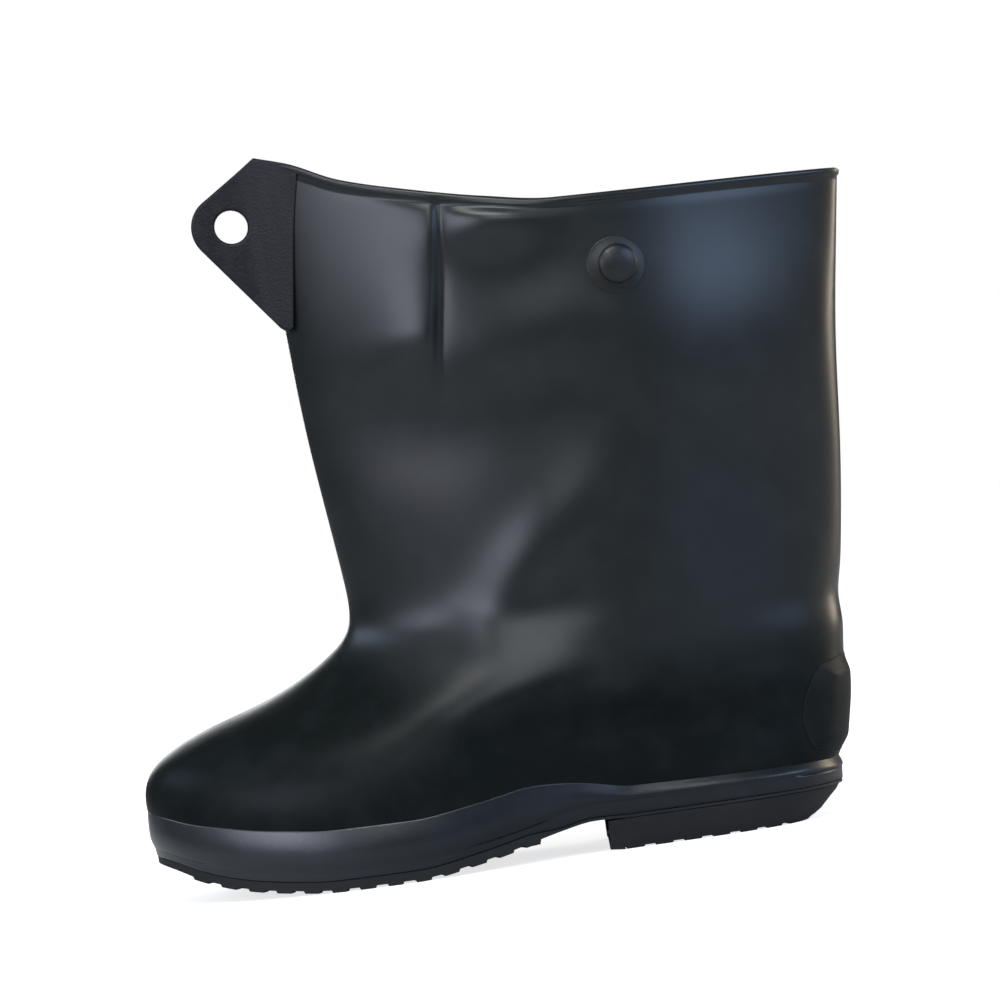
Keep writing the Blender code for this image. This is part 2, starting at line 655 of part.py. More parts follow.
def tab_reach(height):
    """How far the strap tab stands in front of the shaft at a height: a round tip between two slants."""
    top = COLLAR_HEIGHT + COLLAR_RISE
    tip = top - TAB_TIP_DROP
    reach = np.zeros(np.shape(height))
    for corner, side in ((top, 1), (top - TAB_DROP, -1)):
        away = abs(corner - tip)
        distance = math.hypot(away, TAB_TIP_REACH)
        tangent = math.sqrt(distance ** 2 - TAB_TIP_RADIUS ** 2)
        slant = math.atan2(TAB_TIP_REACH, away) + math.asin(TAB_TIP_RADIUS / distance)
        touch = corner - side * tangent * math.cos(slant)
        on_line = side * (height - touch) > 0
        reach = np.where(on_line, side * (corner - height) * math.tan(slant), reach)
        if side > 0:
            upper_touch = touch
        else:
            lower_touch = touch
    lift = np.clip(height - tip, -TAB_TIP_RADIUS, TAB_TIP_RADIUS)
    round_tip = TAB_TIP_REACH + np.sqrt(TAB_TIP_RADIUS ** 2 - lift ** 2)
    return np.where((height <= upper_touch) & (height >= lower_touch), round_tip, np.maximum(reach, 0))


def make_strap_tab(collection, cutters, material):
    """The strap tab: a flap lapped on the shaft's outer side, running out in front with a hole."""
    rows, columns = 19, 8
    trial = np.linspace(THROAT_LEVEL, COLLAR_LEVEL, 201)
    front_heights = outer_wall(trial, 0.0)[:, 2]
    top = COLLAR_HEIGHT + COLLAR_RISE
    heights = np.linspace(top - TAB_DROP, top, rows)
    levels = np.interp(heights, front_heights, trial)
    reach = tab_reach(heights)
    lap = np.linspace(TAB_LAP_LOW, TAB_LAP, rows)
    side_angles = ring_angles()[: RING_POINTS // 4]
    points = []
    for level, height, ahead, behind in zip(levels, heights, reach, lap):
        stand_off = BEAD_PROUD * bead_clearance(level)
        ring = outer_wall(level, side_angles) + outer_normal(level, side_angles) * stand_off
        spread = np.linspace(0, 1, columns)
        x = ring[0, 0] + np.concatenate([-ahead * spread[:0:-1], behind * spread ** 2])
        wall = np.interp(x, ring[:, 0], -ring[:, 1])
        wall = np.where(x < ring[0, 0], TAB_LEAVING_SLOPE * (x - ring[0, 0]), wall)
        hugging = (wall + np.sqrt(wall ** 2 + TAB_BEND ** 2)) / 2
        z = np.interp(x, ring[:, 0], ring[:, 2] - ring[0, 2] + height, left=height)
        points.append(np.column_stack([x, -hugging - TAB_CLEARANCE, z]))
    mesh = bpy.data.meshes.new("strap_tab")
    mesh.from_pydata(np.concatenate(points).tolist(), [], grid_faces(rows, 2 * columns - 1, False))
    piece = add_object("strap_tab", mesh, collection, material)
    solidify(piece, TAB_THICKNESS, 1)

    front = outer_wall(np.interp(top - TAB_TIP_DROP, front_heights, trial), 0.0)
    bpy.ops.mesh.primitive_cylinder_add(
        vertices=24, radius=TAB_HOLE_DIAMETER / 2, depth=8 * TAB_THICKNESS,
        location=(front[0] - TAB_HOLE_REACH, 0, top - TAB_TIP_DROP), rotation=(math.pi / 2, 0, 0))
    cutter = bpy.context.object
    cutter.name = "tab_hole_cutter"
    for holder in cutter.users_collection:
        holder.objects.unlink(cutter)
    cutters.objects.link(cutter)
    cutter.hide_render = True
    cutter.display_type = "WIRE"
    hole = piece.modifiers.new("hole", "BOOLEAN")
    hole.operation = "DIFFERENCE"
    hole.object = cutter
    return piece


def button_frame():
    """Place and outward direction of the button on the shaft's outer side."""
    level, angle = wall_at(-BUTTON_BACK, COLLAR_HEIGHT - BUTTON_DROP)
    return outer_wall(level, angle), outer_normal(level, angle)


def make_button_base(collection, material):
    """The button's base: a thin disc that follows the shaft's wall."""
    rings, spokes = 3, 24
    centre, _ = button_frame()
    radius = BUTTON_BASE_DIAMETER / 2 * np.arange(1, rings + 1) / rings
    turn = np.linspace(0, 2 * math.pi, spokes, endpoint=False)
    x = centre[0] + radius[:, None] * np.cos(turn)
    z = centre[2] + radius[:, None] * np.sin(turn)
    level, angle = wall_at(x, z)
    points = outer_wall(level, angle) + outer_normal(level, angle) * FIT_GAP
    level, angle = wall_at(centre[0], centre[2])
    middle = outer_wall(level, angle) + outer_normal(level, angle) * FIT_GAP
    faces = grid_faces(rings, spokes, True)
    hub = rings * spokes
    faces += [(hub, k, (k + 1) % spokes) for k in range(spokes)]
    faces = [tuple(reversed(face)) for face in faces[:-spokes]] + faces[-spokes:]
    mesh = closed_mesh("button_base", np.vstack([points.reshape(-1, 3), middle[None]]), faces)
    if mesh.polygons[0].normal.y > 0:
        mesh.flip_normals()
    piece = add_object("button_base", mesh, collection, material)
    solidify(piece, BUTTON_BASE_THICKNESS, 1)
    return piece


def make_button(collection, material):
    """The button: a turned stud with a domed head, standing on its base."""
    stem = BUTTON_STEM_DIAMETER / 2
    head = BUTTON_HEAD_DIAMETER / 2
    under = BUTTON_STEM_HEIGHT
    rim = under + BUTTON_RIM_HEIGHT
    dome = [(head * math.sin(turn), rim + (BUTTON_HEAD_THICKNESS - BUTTON_RIM_HEIGHT) * math.cos(turn))
            for turn in np.linspace(0, math.pi / 2, 7)]
    profile = dome + [
        (head - BUTTON_RIM_ROUNDING, under), (stem + BUTTON_RIM_ROUNDING, under),
        (stem, under - BUTTON_RIM_ROUNDING), (stem, 0.0), (0.0, 0.0)]
    mesh = bpy.data.meshes.new("button")
    mesh.from_pydata([(r, 0, z) for r, z in profile], [(k, k + 1) for k in range(len(profile) - 1)], [])
    piece = add_object("button", mesh, collection, material)
    turned = piece.modifiers.new("turned", "SCREW")
    turned.steps = turned.render_steps = 20
    turned.use_merge_vertices = True
    turned.merge_threshold = 1e-5
    place, out = button_frame()
    lift = BUTTON_BASE_THICKNESS + 2 * FIT_GAP
    piece.location = place + out * lift
    piece.rotation_euler = Vector(out).to_track_quat("Z", "Y").to_euler()
    return piece


def clear_scene():
    """Removes the objects that the file starts with."""
    for piece in list(bpy.data.objects):
        bpy.data.objects.remove(piece, do_unlink=True)


def make_collection(name):
    """A collection linked to the scene."""
    collection = bpy.data.collections.new(name)
    bpy.context.scene.collection.children.link(collection)
    return collection


def main():
    """Builds every piece and hangs them on one empty at the origin."""
    clear_scene()
    overshoe = make_collection("overshoe")
    cutters = make_collection("cutters")
    upper_rubber = rubber("upper_rubber", (0.018, 0.020, 0.022), 0.38)
    sole_rubber = rubber("sole_rubber", (0.016, 0.017, 0.018), 0.55)
    foxing_rubber = rubber("foxing_rubber", (0.018, 0.021, 0.026), 0.34)
    patch_rubber = rubber("patch_rubber", (0.024, 0.023, 0.026), 0.60)
    button_rubber = rubber("button_rubber", (0.020, 0.020, 0.022), 0.42)
    insole_rubber = rubber("insole_rubber", (0.030, 0.030, 0.031), 0.85)

    pieces = [
        make_upper(overshoe, upper_rubber),
        make_foxing(overshoe, foxing_rubber),
        make_outsole(overshoe, sole_rubber),
        make_heel(overshoe, sole_rubber),
        make_insole(overshoe, insole_rubber),
        make_counter(overshoe, patch_rubber),
        make_strap_tab(overshoe, cutters, patch_rubber),
        make_button_base(overshoe, button_rubber),
        make_button(overshoe, button_rubber),
    ]
    root = bpy.data.objects.new("overshoe_origin", None)
    overshoe.objects.link(root)
    for piece in pieces:
        piece.parent = root
        piece.data.shade_smooth()
        piece.data.set_sharp_from_angle(angle=math.radians(40))


main()
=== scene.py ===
"""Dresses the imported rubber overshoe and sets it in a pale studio.

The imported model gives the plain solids. This script lays a finer skin over them: the slack wall of
the upper with its creases, the rounded foxing strip, the cleated sole and heel, the counter patch,
the strap tab with its hole, and the button. Every skin is worked out from the same sections as the
solids, so it stands where they stand.

Lengths are in metres, +Z is up, the toe points towards -X, and the outer side faces -Y.
"""

from __future__ import annotations

import json
import logging
import math
from collections.abc import Callable
from dataclasses import dataclass, field
from enum import Enum

import bmesh
import bpy
import numpy as np
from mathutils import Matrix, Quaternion, Vector

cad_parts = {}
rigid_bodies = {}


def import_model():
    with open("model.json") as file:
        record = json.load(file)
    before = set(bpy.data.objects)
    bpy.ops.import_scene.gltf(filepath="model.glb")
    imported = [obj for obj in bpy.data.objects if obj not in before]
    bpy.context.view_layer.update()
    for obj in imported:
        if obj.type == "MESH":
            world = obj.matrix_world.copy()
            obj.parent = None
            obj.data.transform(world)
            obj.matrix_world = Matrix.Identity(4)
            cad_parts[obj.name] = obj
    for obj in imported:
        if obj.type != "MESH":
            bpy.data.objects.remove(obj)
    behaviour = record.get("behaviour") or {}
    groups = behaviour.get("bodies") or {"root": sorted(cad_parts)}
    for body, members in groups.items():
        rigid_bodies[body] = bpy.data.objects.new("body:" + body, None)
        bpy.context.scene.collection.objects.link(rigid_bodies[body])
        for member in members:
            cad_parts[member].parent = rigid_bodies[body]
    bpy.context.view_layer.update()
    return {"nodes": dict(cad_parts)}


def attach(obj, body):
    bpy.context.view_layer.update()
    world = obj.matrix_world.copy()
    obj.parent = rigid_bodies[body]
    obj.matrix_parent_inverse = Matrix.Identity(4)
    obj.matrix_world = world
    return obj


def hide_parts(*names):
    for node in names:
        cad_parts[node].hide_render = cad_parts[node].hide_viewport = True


LOG = logging.getLogger("overshoe")
MM = 0.001
SLOPE_STEP = 1e-3
"""A step of level or angle that is small enough to read a slope over."""
TRIAL_POINTS = 161
"""How finely a line up the wall is sampled before heights are looked up on it."""
SHARP_ANGLE = math.radians(38)
MERGE_DISTANCE = 1e-6


def natural_spline(knots: np.ndarray, values: np.ndarray, at: np.ndarray) -> np.ndarray:
    """The smooth cubic through values at knots, with no bend at its two ends.

    Args:
        knots: Where the values hold, in rising order.
        values: One value or one row of values for each knot.
        at: Where to read the curve.

    Returns:
        One value or one row for each place.
    """
    knots = np.asarray(knots, float)
    values = np.asarray(values, float)
    spans = np.diff(knots)
    count = len(knots)
    system = np.eye(count)
    right = np.zeros_like(values)
    slopes = (np.diff(values, axis=0).T / spans).T
    for i in range(1, count - 1):
        system[i, i - 1:i + 2] = spans[i - 1], 2 * (spans[i - 1] + spans[i]), spans[i]
        right[i] = 6 * (slopes[i] - slopes[i - 1])
    bends = np.linalg.solve(system, right)
    i = np.clip(np.searchsorted(knots, at) - 1, 0, count - 2)
    far = (at - knots[i]) / spans[i]
    near = 1 - far
    square = spans[i] ** 2 / 6
    weights = [near, far, (near ** 3 - near) * square, (far ** 3 - far) * square]
    if values.ndim > 1:
        weights = [weight[:, None] for weight in weights]
    return (weights[0] * values[i] + weights[1] * values[i + 1]
            + weights[2] * bends[i] + weights[3] * bends[i + 1])


def cubic_span(s: np.ndarray, span: np.ndarray | float, values: tuple, slopes: tuple) -> np.ndarray:
    """The cubic over one span that has the given values and slopes at its two ends.

    Args:
        s: Share of the span, from 0 to 1.
        span: The span's length.
        values: The value at its start and at its end.
        slopes: The slope at its start and at its end.

    Returns:
        One value for each share.
    """
    return (values[0] * (1 + 2 * s) * (1 - s) ** 2 + values[1] * s * s * (3 - 2 * s)
            + span * s * (1 - s) * (slopes[0] * (1 - s) - slopes[1] * s))


def steady_curve(knots: np.ndarray, values: np.ndarray, at: np.ndarray) -> np.ndarray:
    """A cubic through values that never overshoots them, so that a flat stretch stays flat.

    Args:
        knots: Where the values hold, in rising order.
        values: One value for each knot.
        at: Where to read the curve. Places beyond the ends take the end values.

    Returns:
        One value for each place.
    """
    knots = np.asarray(knots, float)
    values = np.asarray(values, float)
    spans = np.diff(knots)
    slopes = np.diff(values) / spans
    tangents = np.zeros(len(knots))
    tangents[0], tangents[-1] = slopes[0], slopes[-1]
    for i in range(1, len(knots) - 1):
        if slopes[i - 1] * slopes[i] > 0:
            tangents[i] = 2 * slopes[i - 1] * slopes[i] / (slopes[i - 1] + slopes[i])
    at = np.clip(at, knots[0], knots[-1])
    i = np.clip(np.searchsorted(knots, at) - 1, 0, len(knots) - 2)
    s = (at - knots[i]) / spans[i]
    return cubic_span(s, spans[i], (values[i], values[i + 1]), (tangents[i], tangents[i + 1]))


def smooth_step(low: float, high: float, at: np.ndarray) -> np.ndarray:
    """0 below low, 1 above high, and the smooth cubic 3s^2 - 2s^3 between them."""
    s = np.clip((at - low) / (high - low), 0, 1)
    return s * s * (3 - 2 * s)


def unit(vectors: np.ndarray) -> np.ndarray:
    """The vectors at length 1."""
    return vectors / np.linalg.norm(vectors, axis=-1, keepdims=True)


def full_turn(count: int) -> np.ndarray:
    """Angles once round, evenly spaced from 0."""
    return np.linspace(0, 2 * math.pi, count, endpoint=False)


@dataclass(frozen=True)
class Section:
    """One ring round the boot, in shares of the sizes that it follows.

    Fronts and backs are shares of the foot's length forward of the heel's furthest point. Heights
    are shares of the instep's height in the foot, and of the rise to the collar in the shaft.
    """

    front: float
    front_height: float
    back: float
    back_height: float
    toe: float
    ball: float
    waist: float
    heel: float
    blunt_front: float
    blunt_back: float
    swing: float
    sole_follow: float
    collar_follow: float


@dataclass(frozen=True)
class SolePoint:
    """One place along the sole, from heel back to toe tip, in shares of the sizes it follows."""

    along: float
    arch: float
    spring: float
    thickness: float
    lug: float
    foxing: float


@dataclass
class Last:
    """The form that the overshoe is built on: the outer face of its wall, and its sole's line.

    The sections of the foot and of the shaft are listed from the feather edge upwards.
    """

    foot_length: float = 305 * MM
    heel_back: float = 65.7 * MM
    ball_width: float = 106 * MM
    heel_width: float = 76 * MM
    instep_height: float = 110 * MM
    collar_height: float = 271 * MM
    collar_rise: float = 38 * MM
    shaft_width: float = 86 * MM
    sole_thickness: float = 9 * MM
    heel_height: float = 13 * MM
    toe_spring: float = 20 * MM
    lug_depth: float = 3.5 * MM
    foxing_height: float = 26 * MM
    fit_gap: float = 0.3 * MM
    foot: tuple[Section, ...] = (
        Section(.9880, .236, .0400, .185, .98, 1.020, .95, 1.34, 1.50, 1.35, 1.00, 1.00, 0),
        Section(.9955, .309, .0270, .255, 1.02, 1.060, 1.01, 1.37, 1.50, 1.35, 1.00, .82, 0),
        Section(1.0010, .409, .0190, .345, 1.02, 1.060, 1.08, 1.37, 1.45, 1.35, 1.00, .60, 0),
        Section(.9830, .532, .0120, .441, .97, 1.010, 1.13, 1.34, 1.36, 1.30, 1.00, .38, 0),
        Section(.9230, .630, .0080, .536, .87, .945, 1.16, 1.29, 1.20, 1.25, .90, .20, 0),
        Section(.8520, .695, .0055, .636, .79, .895, 1.19, 1.22, 1.08, 1.20, .75, .10, 0),
        Section(.7820, .766, .0020, .736, .74, .870, 1.21, 1.17, 1.00, 1.12, .55, .04, 0),
        Section(.7165, .872, .0025, .836, .70, .850, 1.22, 1.11, .94, 1.02, .35, 0, 0),
    )
    shaft: tuple[Section, ...] = (
        Section(.6844, -.010, -.0055, -.035, .84, 1.020, 1.07, .93, .90, .92, .20, 0, 0),
        Section(.6835, .088, -.0160, .087, .81, 1.010, 1.06, .88, .84, .84, .10, 0, 0),
        Section(.6966, .268, -.0300, .298, .80, .990, 1.035, .84, .78, .77, 0, 0, 0),
        Section(.7093, .470, -.0430, .550, .79, .980, 1.01, .81, .74, .74, 0, 0, .14),
        Section(.7182, .735, -.0600, .780, .78, .965, .99, .80, .72, .72, 0, 0, .52),
        Section(.7254, 1.000, -.0780, 1.000, .77, .955, .98, .80, .70, .70, 0, 0, 1),
    )
    sole: tuple[SolePoint, ...] = (
        SolePoint(.000, 1.00, .00, .83, 0, .42),
        SolePoint(.330, 1.00, .00, .83, 0, .50),
        SolePoint(.385, 1.05, .00, .80, 0, .60),
        SolePoint(.430, .90, .00, .80, 0, .76),
        SolePoint(.486, .53, .00, .90, 1, .95),
        SolePoint(.550, .24, .00, .97, 1, .97),
        SolePoint(.630, .00, .00, 1.00, 1, .99),
        SolePoint(.735, .00, .00, 1.00, 1, 1.00),
        SolePoint(.807, .00, .09, 1.00, 1, 1.02),
        SolePoint(.866, .00, .23, 1.00, 1, 1.02),
        SolePoint(.923, .00, .48, .97, 1, .96),
        SolePoint(.961, .00, .74, .88, .9, .90),
        SolePoint(1.000, .00, .96, .80, .5, .86),
    )
    width_stations: tuple[float, ...] = (.06, .36, .64, .90)
    swing_stations: tuple[float, ...] = (0, .06, .36, .64, .90, 1)
    swing_shares: tuple[float, ...] = (.085, .075, -.028, -.045, 0, .005)
    collar_along: tuple[float, ...] = (0, .06, .14, .26, .38, .50, .70, 1)
    collar_shares: tuple[float, ...] = (1, .86, .60, .36, .17, .04, .01, 0)
    search_steps: int = 10
    rows: np.ndarray = field(init=False, repr=False)

    def __post_init__(self) -> None:
        """Works the sections out in metres, a row for each ring."""
        ball, heel, shaft = self.ball_width / 2, self.heel_width / 2, self.shaft_width / 2
        rise = self.collar_height - self.instep_height
        rows = [self._row(section, 0, (self.instep_height, self.instep_height),
                          (ball, ball, heel, heel)) for section in self.foot]
        rows += [self._row(section, self.instep_height, (rise + self.collar_rise, rise),
                           (shaft, shaft, shaft, shaft)) for section in self.shaft]
        self.rows = np.array(rows)

    def _row(self, section: Section, base: float, rises: tuple[float, float],
             halves: tuple[float, float, float, float]) -> list[float]:
        """A section in metres.

        Args:
            section: The section, in shares.
            base: The height from which its heights count.
            rises: What its front height and its back height are shares of.
            halves: What its four half widths are shares of, from toe to heel.

        Returns:
            Front and its height, back and its height, four half widths, and the plain shares.
        """
        widths = (section.toe, section.ball, section.waist, section.heel)
        return [self.heel_back - section.front * self.foot_length,
                base + section.front_height * rises[0],
                self.heel_back - section.back * self.foot_length,
                base + section.back_height * rises[1],
                *(share * half for share, half in zip(widths, halves)),
                section.blunt_front, section.blunt_back, section.swing,
                section.sole_follow, section.collar_follow]

    @property
    def throat(self) -> float:
        """The level where the foot becomes the shaft."""
        return float(len(self.foot))

    @property
    def collar(self) -> float:
        """The level of the collar's edge."""
        return float(len(self.foot) + len(self.shaft) - 1)

    def _column(self, name: str, x: np.ndarray) -> np.ndarray:
        """One column of the sole's line at x, still as a share.

        Args:
            name: The field of the sole's points to read.
            x: Places along the foot.

        Returns:
            One share for each place.
        """
        along = (self.heel_back - np.asarray(x, float)) / self.foot_length
        knots = [point.along for point in self.sole]
        return steady_curve(knots, [getattr(point, name) for point in self.sole], along)

    def tread_height(self, x: np.ndarray) -> np.ndarray:
        """Height of the lugs' tips at x."""
        return self.heel_height * self._column("arch", x) + self.toe_spring * self._column("spring", x)

    def under_height(self, x: np.ndarray) -> np.ndarray:
        """Height of the outsole's underside between its lugs at x."""
        return self.tread_height(x) + self.lug_depth * self._column("lug", x)

    def seat_height(self, x: np.ndarray) -> np.ndarray:
        """Height of the outsole's top at x."""
        return self.tread_height(x) + self.sole_thickness * self._column("thickness", x)

    def foxing_top(self, x: np.ndarray) -> np.ndarray:
        """Height of the foxing strip's upper edge at x."""
        return self.tread_height(x) + self.foxing_height * self._column("foxing", x)

    def has_lugs(self, x: np.ndarray) -> np.ndarray:
        """Whether the outsole is cleated at x."""
        return self._column("lug", x) > 0.5

    def lug_share(self, x: np.ndarray) -> np.ndarray:
        """How much of its lugs' depth the outsole has at x, from 0 to 1."""
        return self._column("lug", x)

    def wall(self, level: np.ndarray, angle: np.ndarray) -> np.ndarray:
        """Points of the upper's outer face, before it slackens.

        Level counts the sections from the feather edge. Angle runs from the toe at 0 along the
        outer side to the heel at pi, and back along the inner side. On each ring the length goes
        with the angle's cosine. The half width goes with b*s + (1-b)*s*|s|, where s is the angle's
        sine and b is 1 on an ellipse, more on a blunt end and less on a sharp one. The columns of
        the section table pass from ring to ring on a smooth cubic.

        Args:
            level: Sections above the feather edge, with fractions.
            angle: Angle round the ring, in radians.

        Returns:
            Points, with one more axis than the two arguments broadcast to.
        """
        level, angle = np.broadcast_arrays(np.asarray(level, float), np.asarray(angle, float))
        shape = level.shape
        level, angle = level.ravel(), angle.ravel()
        row = natural_spline(np.arange(len(self.rows)), self.rows, level).T
        front, front_height, back, back_height = row[:4]
        along = (1 - np.cos(angle)) / 2
        x = front + (back - front) * along

        mixing = natural_spline(self.width_stations, np.eye(len(self.width_stations)), along)
        half = (mixing * row[4:8].T).sum(axis=1)
        blunt = row[9] + (row[8] - row[9]) * (1 - along)
        sine = np.sin(angle)
        swing = self.ball_width * row[10] * natural_spline(
            self.swing_stations, self.swing_shares, along)
        y = swing - half * (blunt * sine + (1 - blunt) * sine * np.abs(sine))

        first, last = self.rows[0], self.rows[-1]
        feather_x = first[0] + (first[2] - first[0]) * along
        feather_chord = first[1] + (first[3] - first[1]) * along
        sole_bend = self.seat_height(feather_x) + self.fit_gap - feather_chord
        collar_line = self.collar_height + self.collar_rise * steady_curve(
            self.collar_along, self.collar_shares, along)
        collar_chord = last[1] + (last[3] - last[1]) * along
        z = (front_height + (back_height - front_height) * along
             + row[11] * sole_bend + row[12] * (collar_line - collar_chord))
        return np.stack([x, y, z], axis=1).reshape(*shape, 3)

    def normal(self, level: np.ndarray, angle: np.ndarray) -> np.ndarray:
        """Unit normals of the outer face, pointing out.

        Args:
            level: Sections above the feather edge.
            angle: Angle round the ring, in radians.

        Returns:
            Unit vectors, with one more axis than the two arguments broadcast to.
        """
        level, angle = np.broadcast_arrays(np.asarray(level, float), np.asarray(angle, float))
        around = self.wall(level, angle + SLOPE_STEP) - self.wall(level, angle - SLOPE_STEP)
        up = (self.wall(np.minimum(level + SLOPE_STEP, self.collar), angle)
              - self.wall(np.maximum(level - SLOPE_STEP, 0), angle))
        return unit(np.cross(around, up))

    def level_normal(self, angle: np.ndarray) -> np.ndarray:
        """Unit vectors pointing out from the feather edge, level with the floor.

        Args:
            angle: Angles round the ring, in radians.

        Returns:
            One vector for each angle.
        """
        normal = self.normal(0.0, angle)
        normal[:, 2] = 0
        return unit(normal)

    def place_on_outer_side(self, x: np.ndarray, z: np.ndarray) -> tuple[np.ndarray, np.ndarray]:
        """Level and angle of the outer side's points that have these x and z.

        The angle follows from x at once, because a ring's length goes with the cosine. The level
        is found by steps along the height's slope. In front of the shaft the angle is 0.

        Args:
            x: Places along the foot.
            z: Heights, in the shaft.

        Returns:
            Levels and angles, shaped as x and z broadcast to.
        """
        x, z = np.broadcast_arrays(np.asarray(x, float), np.asarray(z, float))
        level = np.full(x.shape, self.collar - 1)
        for _ in range(self.search_steps):
            front = self.wall(level, 0.0)[..., 0]
            back = self.wall(level, math.pi)[..., 0]
            angle = np.arccos(np.clip(1 - 2 * (x - front) / (back - front), -1, 1))
            here = self.wall(level, angle)[..., 2]
            slope = (self.wall(level + SLOPE_STEP, angle)[..., 2] - here) / SLOPE_STEP
            level = np.clip(level + (z - here) / slope, 0, self.collar)
        return level, angle


class Side(Enum):
    """Which side of the boot a fold lies on."""

    OUTER = 1
    INNER = -1


@dataclass(frozen=True)
class Swell:
    """A soft bulge of the slack wall, or a hollow where its height is below 0.

    The wall moves by height * exp(-(a^2 + b^2)), where a and b are the distances from the middle
    along the swell's own two directions, each over its reach.
    """

    side: Side
    x: float
    z: float
    height: float
    reach: float
    rise: float
    lean: float = 0.0

    def move(self, x: np.ndarray, z: np.ndarray) -> np.ndarray:
        """How far the wall moves out.

        Args:
            x: Places along the foot, in millimetres.
            z: Heights over the floor, in millimetres.

        Returns:
            Distances in millimetres, below 0 where the wall moves in.
        """
        cosine, sine = math.cos(math.radians(self.lean)), math.sin(math.radians(self.lean))
        a = ((x - self.x) * cosine + (z - self.z) * sine) / self.reach
        b = ((z - self.z) * cosine - (x - self.x) * sine) / self.rise
        return self.height * np.exp(-(a * a + b * b))


class Form(Enum):
    """How a crease looks across."""

    SOFT = "soft"
    CRISP = "crisp"


@dataclass(frozen=True)
class Crease:
    """A fold line of the slack wall: a ridge, or a valley where its height is below 0.

    The line passes smoothly through its points. The wall moves by height * exp(-(d/width)^2) on a
    soft one and height * exp(-d/width) on a crisp one, where d is the distance from the line. Both
    fade over a run of the line's length to the shares that are left at its start and its end.
    """

    side: Side
    points: tuple[tuple[float, float], ...]
    height: float
    width: float
    form: Form = Form.SOFT
    start: float = 0.0
    end: float = 0.0
    run: float = 0.36

    def move(self, x: np.ndarray, z: np.ndarray) -> np.ndarray:
        """How far the wall moves out.

        Args:
            x: Places along the foot, in millimetres.
            z: Heights over the floor, in millimetres.

        Returns:
            Distances in millimetres, below 0 where the wall moves in.
        """
        knots = np.arange(len(self.points), dtype=float)
        at = np.linspace(0, knots[-1], 12 * len(self.points))
        line = natural_spline(knots, np.array(self.points, float), at)
        share = np.linspace(0, 1, len(at))
        begun, left = (smooth_step(-0.02, self.run, way) for way in (share, 1 - share))
        fade = (begun * (1 - self.start) + self.start) * (left * (1 - self.end) + self.end)
        best = np.full(x.shape, np.inf)
        strength = np.zeros(x.shape)
        for i in range(len(at) - 1):
            tip, run = line[i], line[i + 1] - line[i]
            s = np.clip(((x - tip[0]) * run[0] + (z - tip[1]) * run[1]) / (run @ run), 0, 1)
            away = np.hypot(x - tip[0] - s * run[0], z - tip[1] - s * run[1])
            nearer = away < best
            best = np.where(nearer, away, best)
            strength = np.where(nearer, fade[i] + (fade[i + 1] - fade[i]) * s, strength)
        spread = best / self.width
        across = np.exp(-spread ** 2) if self.form is Form.SOFT else np.exp(-spread)
        return self.height * strength * across


@dataclass(frozen=True)
class Overlap:
    """A crease where the slack wall on its toe side stands over the wall on its heel side.

    With s the distance towards the toe from the line, the wall moves by height * exp(-(s/reach)^2)
    on the toe side. On the heel side it drops away over the step's width. It swells up over the
    line's lowest part, and leans back in by its lean towards the line's top.
    """

    side: Side
    points: tuple[tuple[float, float], ...]
    height: float
    reach: float
    step: float
    fade: float = 0.35
    lean: float = 0.0

    def move(self, x: np.ndarray, z: np.ndarray) -> np.ndarray:
        """How far the wall moves out.

        Args:
            x: Places along the foot, in millimetres.
            z: Heights over the floor, in millimetres.

        Returns:
            Distances in millimetres, below 0 where the wall moves in.
        """
        line = np.array(self.points, float)[::-1]
        middle = natural_spline(line[:, 1], line[:, 0], np.clip(z, line[0, 1], line[-1, 1]))
        ahead = middle - x
        share = (z - line[0, 1]) / (line[-1, 1] - line[0, 1])
        strength = smooth_step(0, self.fade, share) * (1 - self.lean * np.clip(share, 0, 1))
        toe_side = np.exp(-(np.maximum(ahead, 0) / self.reach) ** 2)
        heel_side = 1 - smooth_step(0, self.step, -ahead)
        return self.height * strength * toe_side * heel_side


Fold = Swell | Crease | Overlap


@dataclass
class SlackWall:
    """The upper's outer face as it stands empty: the last's wall, pushed in and out by folds.

    The collar's edge is tighter than the wall under it, so only a share of the folds reaches it.
    """

    last: Last
    folds: tuple[Fold, ...]
    edge_fade: float = 0.42
    collar_share: float = 0.12
    collar_hold: float = 9 * MM

    def relief(self, level: np.ndarray, angle: np.ndarray) -> np.ndarray:
        """How far the wall stands off the last, in metres.

        Each fold works on its own side only, and fades towards the front and back edges, so the
        outline stays the last's.

        Args:
            level: Sections above the feather edge.
            angle: Angle round the ring, in radians.

        Returns:
            Distances along the normal, below 0 where the wall is pushed in.
        """
        place = self.last.wall(level, angle)
        x, z = place[..., 0] / MM, place[..., 2] / MM
        sine = np.sin(np.broadcast_to(angle, x.shape))
        total = np.zeros(x.shape)
        for fold in self.folds:
            mask = smooth_step(0, self.edge_fade, sine * fold.side.value)
            total += mask * fold.move(x, z)
        freed = smooth_step(0, self.collar_hold, self.collar_drop(level, angle))
        return total * (self.collar_share + (1 - self.collar_share) * freed) * MM

    def face(self, level: np.ndarray, angle: np.ndarray, off: np.ndarray | float = 0.0) -> np.ndarray:
        """Points at a distance off the slack wall, outwards.

        Args:
            level: Sections above the feather edge.
            angle: Angle round the ring, in radians.
            off: Distance off the wall, along its normal.

        Returns:
            Points, with one more axis than the arguments broadcast to.
        """
        away = self.relief(level, angle) + np.asarray(off)
        return self.last.wall(level, angle) + self.last.normal(level, angle) * away[..., None]

    def collar_drop(self, level: np.ndarray, angle: np.ndarray) -> np.ndarray:
        """How far below the collar's edge each point is."""
        edge = self.last.wall(self.last.collar, angle)[..., 2]
        return edge - self.last.wall(level, angle)[..., 2]


